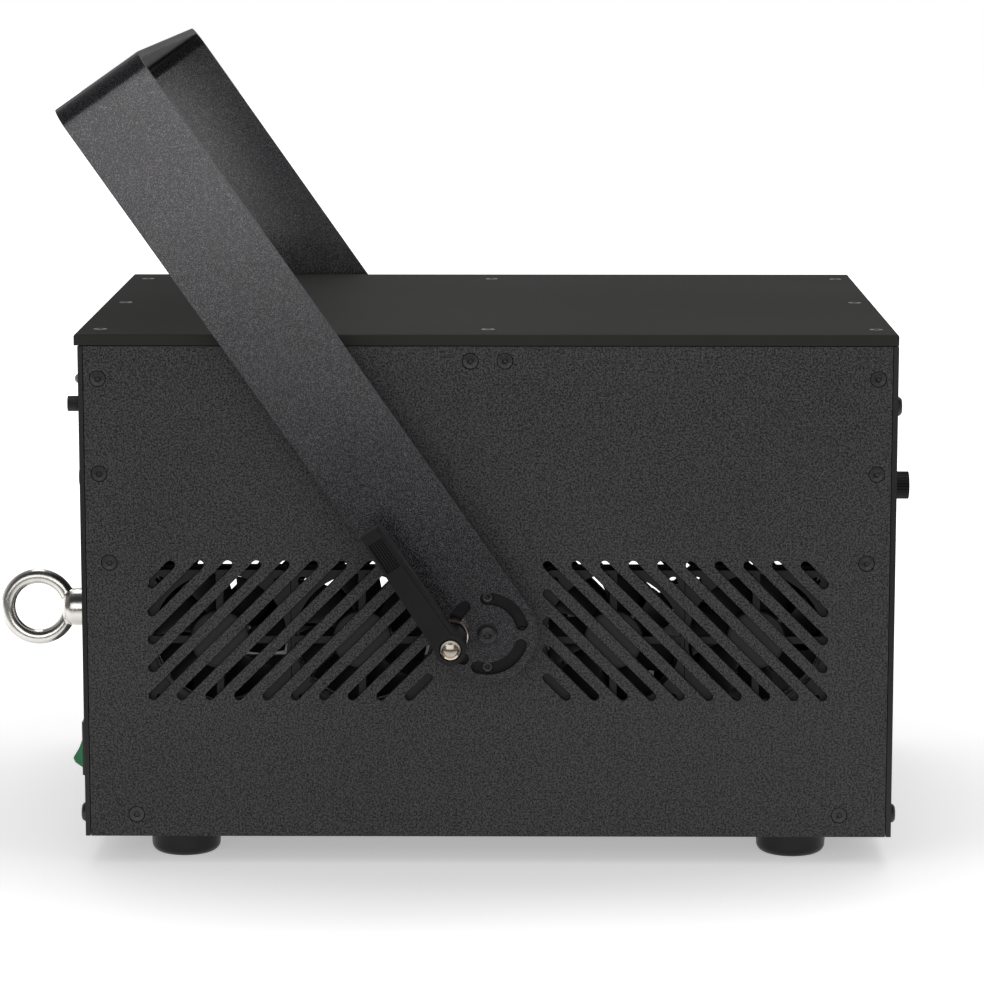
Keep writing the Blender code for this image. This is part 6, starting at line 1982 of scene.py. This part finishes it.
@dataclass
class Studio:
    """The pale floor, the plain soft lamps and the camera."""

    camera_place: Point = (0.0258, -1.65624, 0.40804)
    heading: float = -0.00727
    pitch: float = 0.16044
    lens: float = 136.1
    sensor: float = 36.0
    floor_half: float = 6.0
    # the floor glows less near the object, a painted shade round its base: the distances over which its glow
    # rises and the glow at their ends
    painted_shade_band: Flat = (0.19, 0.32)
    painted_shade_glow: Flat = (0.40, 0.70)
    far_fade: Flat = (0.35, 1.30)
    far_glow: float = 0.25
    glow_reach: Point = (0.7, 1.0, 0.0)
    glow_middle: Point = (0.0, -0.04, 0.0)
    # the floor's brightness in reflections in front of the object, a painted dark reflection
    painted_dark_reflection: float = 0.06
    overhead: float = 0.25
    behind_camera: float = 0.12
    dome: float = 0.50
    # where the painted dark reflection starts in front and where it ends far ahead
    front_edge: Flat = (-0.50, -0.20)
    seen_ahead: Flat = (-3.6, -2.4)
    up_band: Flat = (0.10, 0.70)
    camera_band: Flat = (-0.4, 0.6)
    floor_tone: float = 0.80
    floor_roughness: float = 0.9
    lamps: tuple[SoftLamp, ...] = (
        SoftLamp("top_lamp", (0.05, 0.75, 1.7), (0, 0, 0.1), (1.5, 1.2), 12.0),
        SoftLamp("front_lamp", (-0.20, -2.30, 0.67), (-0.20, 0, 0.67), (2.4, 1.3), 14.0),
    )

    def build_camera(self) -> None:
        """Sets the camera at the photographed viewing angle."""
        data = bpy.data.cameras.new("camera")
        data.lens, data.sensor_width = self.lens, self.sensor
        data.clip_end = 50.0
        camera = shown("camera", data)
        camera.location = self.camera_place
        camera.rotation_euler = Euler((math.pi / 2 - self.pitch, 0, -self.heading))
        bpy.context.scene.camera = camera

    def build_floor(self) -> None:
        """Lays the floor, which reads as white where no shadow falls on it. Its glow is weaker near the
        object, a painted shade round its base, and in reflections the floor in front of the object is
        darkened, a painted dark reflection.
        """
        half = self.floor_half
        mesh = bpy.data.meshes.new("floor")
        corners = [(-half, -half, 0), (half, -half, 0), (half, half, 0), (-half, half, 0)]
        mesh.from_pydata(corners, [], [(0, 1, 2, 3)])
        floor = shown("floor", mesh)
        material = bpy.data.materials.new("floor_white")
        material.use_nodes = True
        canvas = Canvas(material)
        placed = canvas.add("ShaderNodeVectorMath", {"operation": "MULTIPLY_ADD"})
        for number, value in enumerate((canvas.place, self.glow_reach, self.glow_middle)):
            canvas.feed(placed, number, value)
        reach = canvas.add("ShaderNodeVectorMath", {"operation": "LENGTH"})
        canvas.feed(reach, 0, placed.outputs["Vector"])
        distance = reach.outputs["Value"]
        # painted shade: the floor's glow is weaker near the object
        near = canvas.between(distance, *self.painted_shade_band, *self.painted_shade_glow)
        glow = canvas.math("ADD", near, canvas.between(distance, *self.far_fade, 0.0, self.far_glow))
        ahead = canvas.add("ShaderNodeSeparateXYZ", Vector=canvas.place).outputs["Y"]
        # painted dark reflection: glossy rays see the floor in front of the object darkened, in its colour
        # and its glow
        behind_edge = canvas.between(ahead, *self.front_edge, self.painted_dark_reflection, 1.0)
        painted_reflection_mask = canvas.math("MAXIMUM", behind_edge, canvas.between(ahead, *self.seen_ahead, 1.0, 0.0))
        mirrored = canvas.add("ShaderNodeLightPath").outputs["Is Glossy Ray"]
        share = canvas.math("MAXIMUM", canvas.math("SUBTRACT", 1.0, mirrored), painted_reflection_mask)
        seen = canvas.math("MULTIPLY", seen_rays(canvas), share)
        canvas.shade(Base_Color=canvas.math("MULTIPLY", share, self.floor_tone))
        canvas.shade(Roughness=self.floor_roughness, Specular_IOR_Level=0.0)
        canvas.shade(Emission_Color=(1.0, 1.0, 1.0, 1.0))
        canvas.shade(Emission_Strength=canvas.math("MULTIPLY", seen, glow))
        mesh.materials.append(material)

    def build_world(self) -> None:
        """Makes the surroundings white where they are seen and plain where they only light."""
        world = bpy.data.worlds.new("studio")
        world.use_nodes = True
        bpy.context.scene.world = world
        sheet = NodeSheet(world.node_tree)
        background = world.node_tree.nodes["Background"]
        background.inputs["Color"].default_value = (1.0, 1.0, 1.0, 1.0)
        paths = sheet.add("ShaderNodeLightPath").outputs
        direction = sheet.add("ShaderNodeTexCoord").outputs["Generated"]
        way = sheet.add("ShaderNodeSeparateXYZ", Vector=direction).outputs
        upwards = sheet.between(way["Z"], *self.up_band, 1.0, self.overhead)
        away = sheet.between(way["Y"], *self.camera_band, self.behind_camera, 1.0)
        shine = sheet.math("MULTIPLY", upwards, away)
        plain = sheet.math("MULTIPLY", sheet.math("SUBTRACT", 1.0, seen_rays(sheet)), self.dome)
        mirrored = sheet.math("MULTIPLY", paths["Is Glossy Ray"], shine)
        open_view = sheet.math("MAXIMUM", paths["Is Camera Ray"], paths["Is Transmission Ray"])
        strength = sheet.math("MAXIMUM", open_view, sheet.math("MAXIMUM", mirrored, plain))
        world.node_tree.links.new(strength, background.inputs["Strength"])

    def build(self) -> None:
        """Sets up the studio."""
        self.build_camera()
        self.build_floor()
        self.build_world()
        for lamp in self.lamps:
            lamp.hang()
        bpy.context.scene.view_settings.view_transform = "Standard"
        LOG.info("studio: floor, world, camera and %d lamps", len(self.lamps))


def seen_rays(sheet: NodeSheet) -> bpy.types.NodeSocket:
    """Returns 1 for what the camera sees, straight on or in metal and glass, and 0 for light."""
    paths = sheet.add("ShaderNodeLightPath").outputs
    seen = sheet.math("MAXIMUM", paths["Is Camera Ray"], paths["Is Glossy Ray"])
    return sheet.math("MAXIMUM", seen, paths["Is Transmission Ray"])


def dress_nodes() -> None:
    """Gives every part of the frame that still shows its finish, by the record's material slot."""
    finishes = {finish.name: finish for finish in (
        SIDE_COAT, YOKE_COAT, END_COAT, COVER_PAINT, FOOT_RUBBER, BLACK_STEEL, PLATED_STEEL, NICKEL,
        LEVER_PLASTIC, FITTING_PLASTIC, FAN_PLASTIC, ROCKER_PLASTIC, WINDOW_GLASS, BARE_ALUMINIUM,
        MIRROR_COAT, BOARD_MASK,
    )}
    slots = {part["node"]: part["material_slot"] for part in frame["record"]["subparts"]}
    for name, node in frame["nodes"].items():
        node.data.materials.clear()
        node.data.materials.append(finishes[slots[name]].material())


def main() -> None:
    """Builds the projector's looks in order, and the studio round it."""
    logging.basicConfig(level=logging.INFO, format="%(name)s %(message)s")
    dress_nodes()
    for assembly in (SidePanels(), CaseShell(), Feet(), Yoke(), Pivots(), Clamps(), LiftingEye(), FanBank(),
                     RearFittings(), BeamExit(), OpticsBench(), Electronics(), Studio()):
        assembly.build()
        LOG.info("%s is done", type(assembly).__name__)


if __name__ == "__main__":
    main()
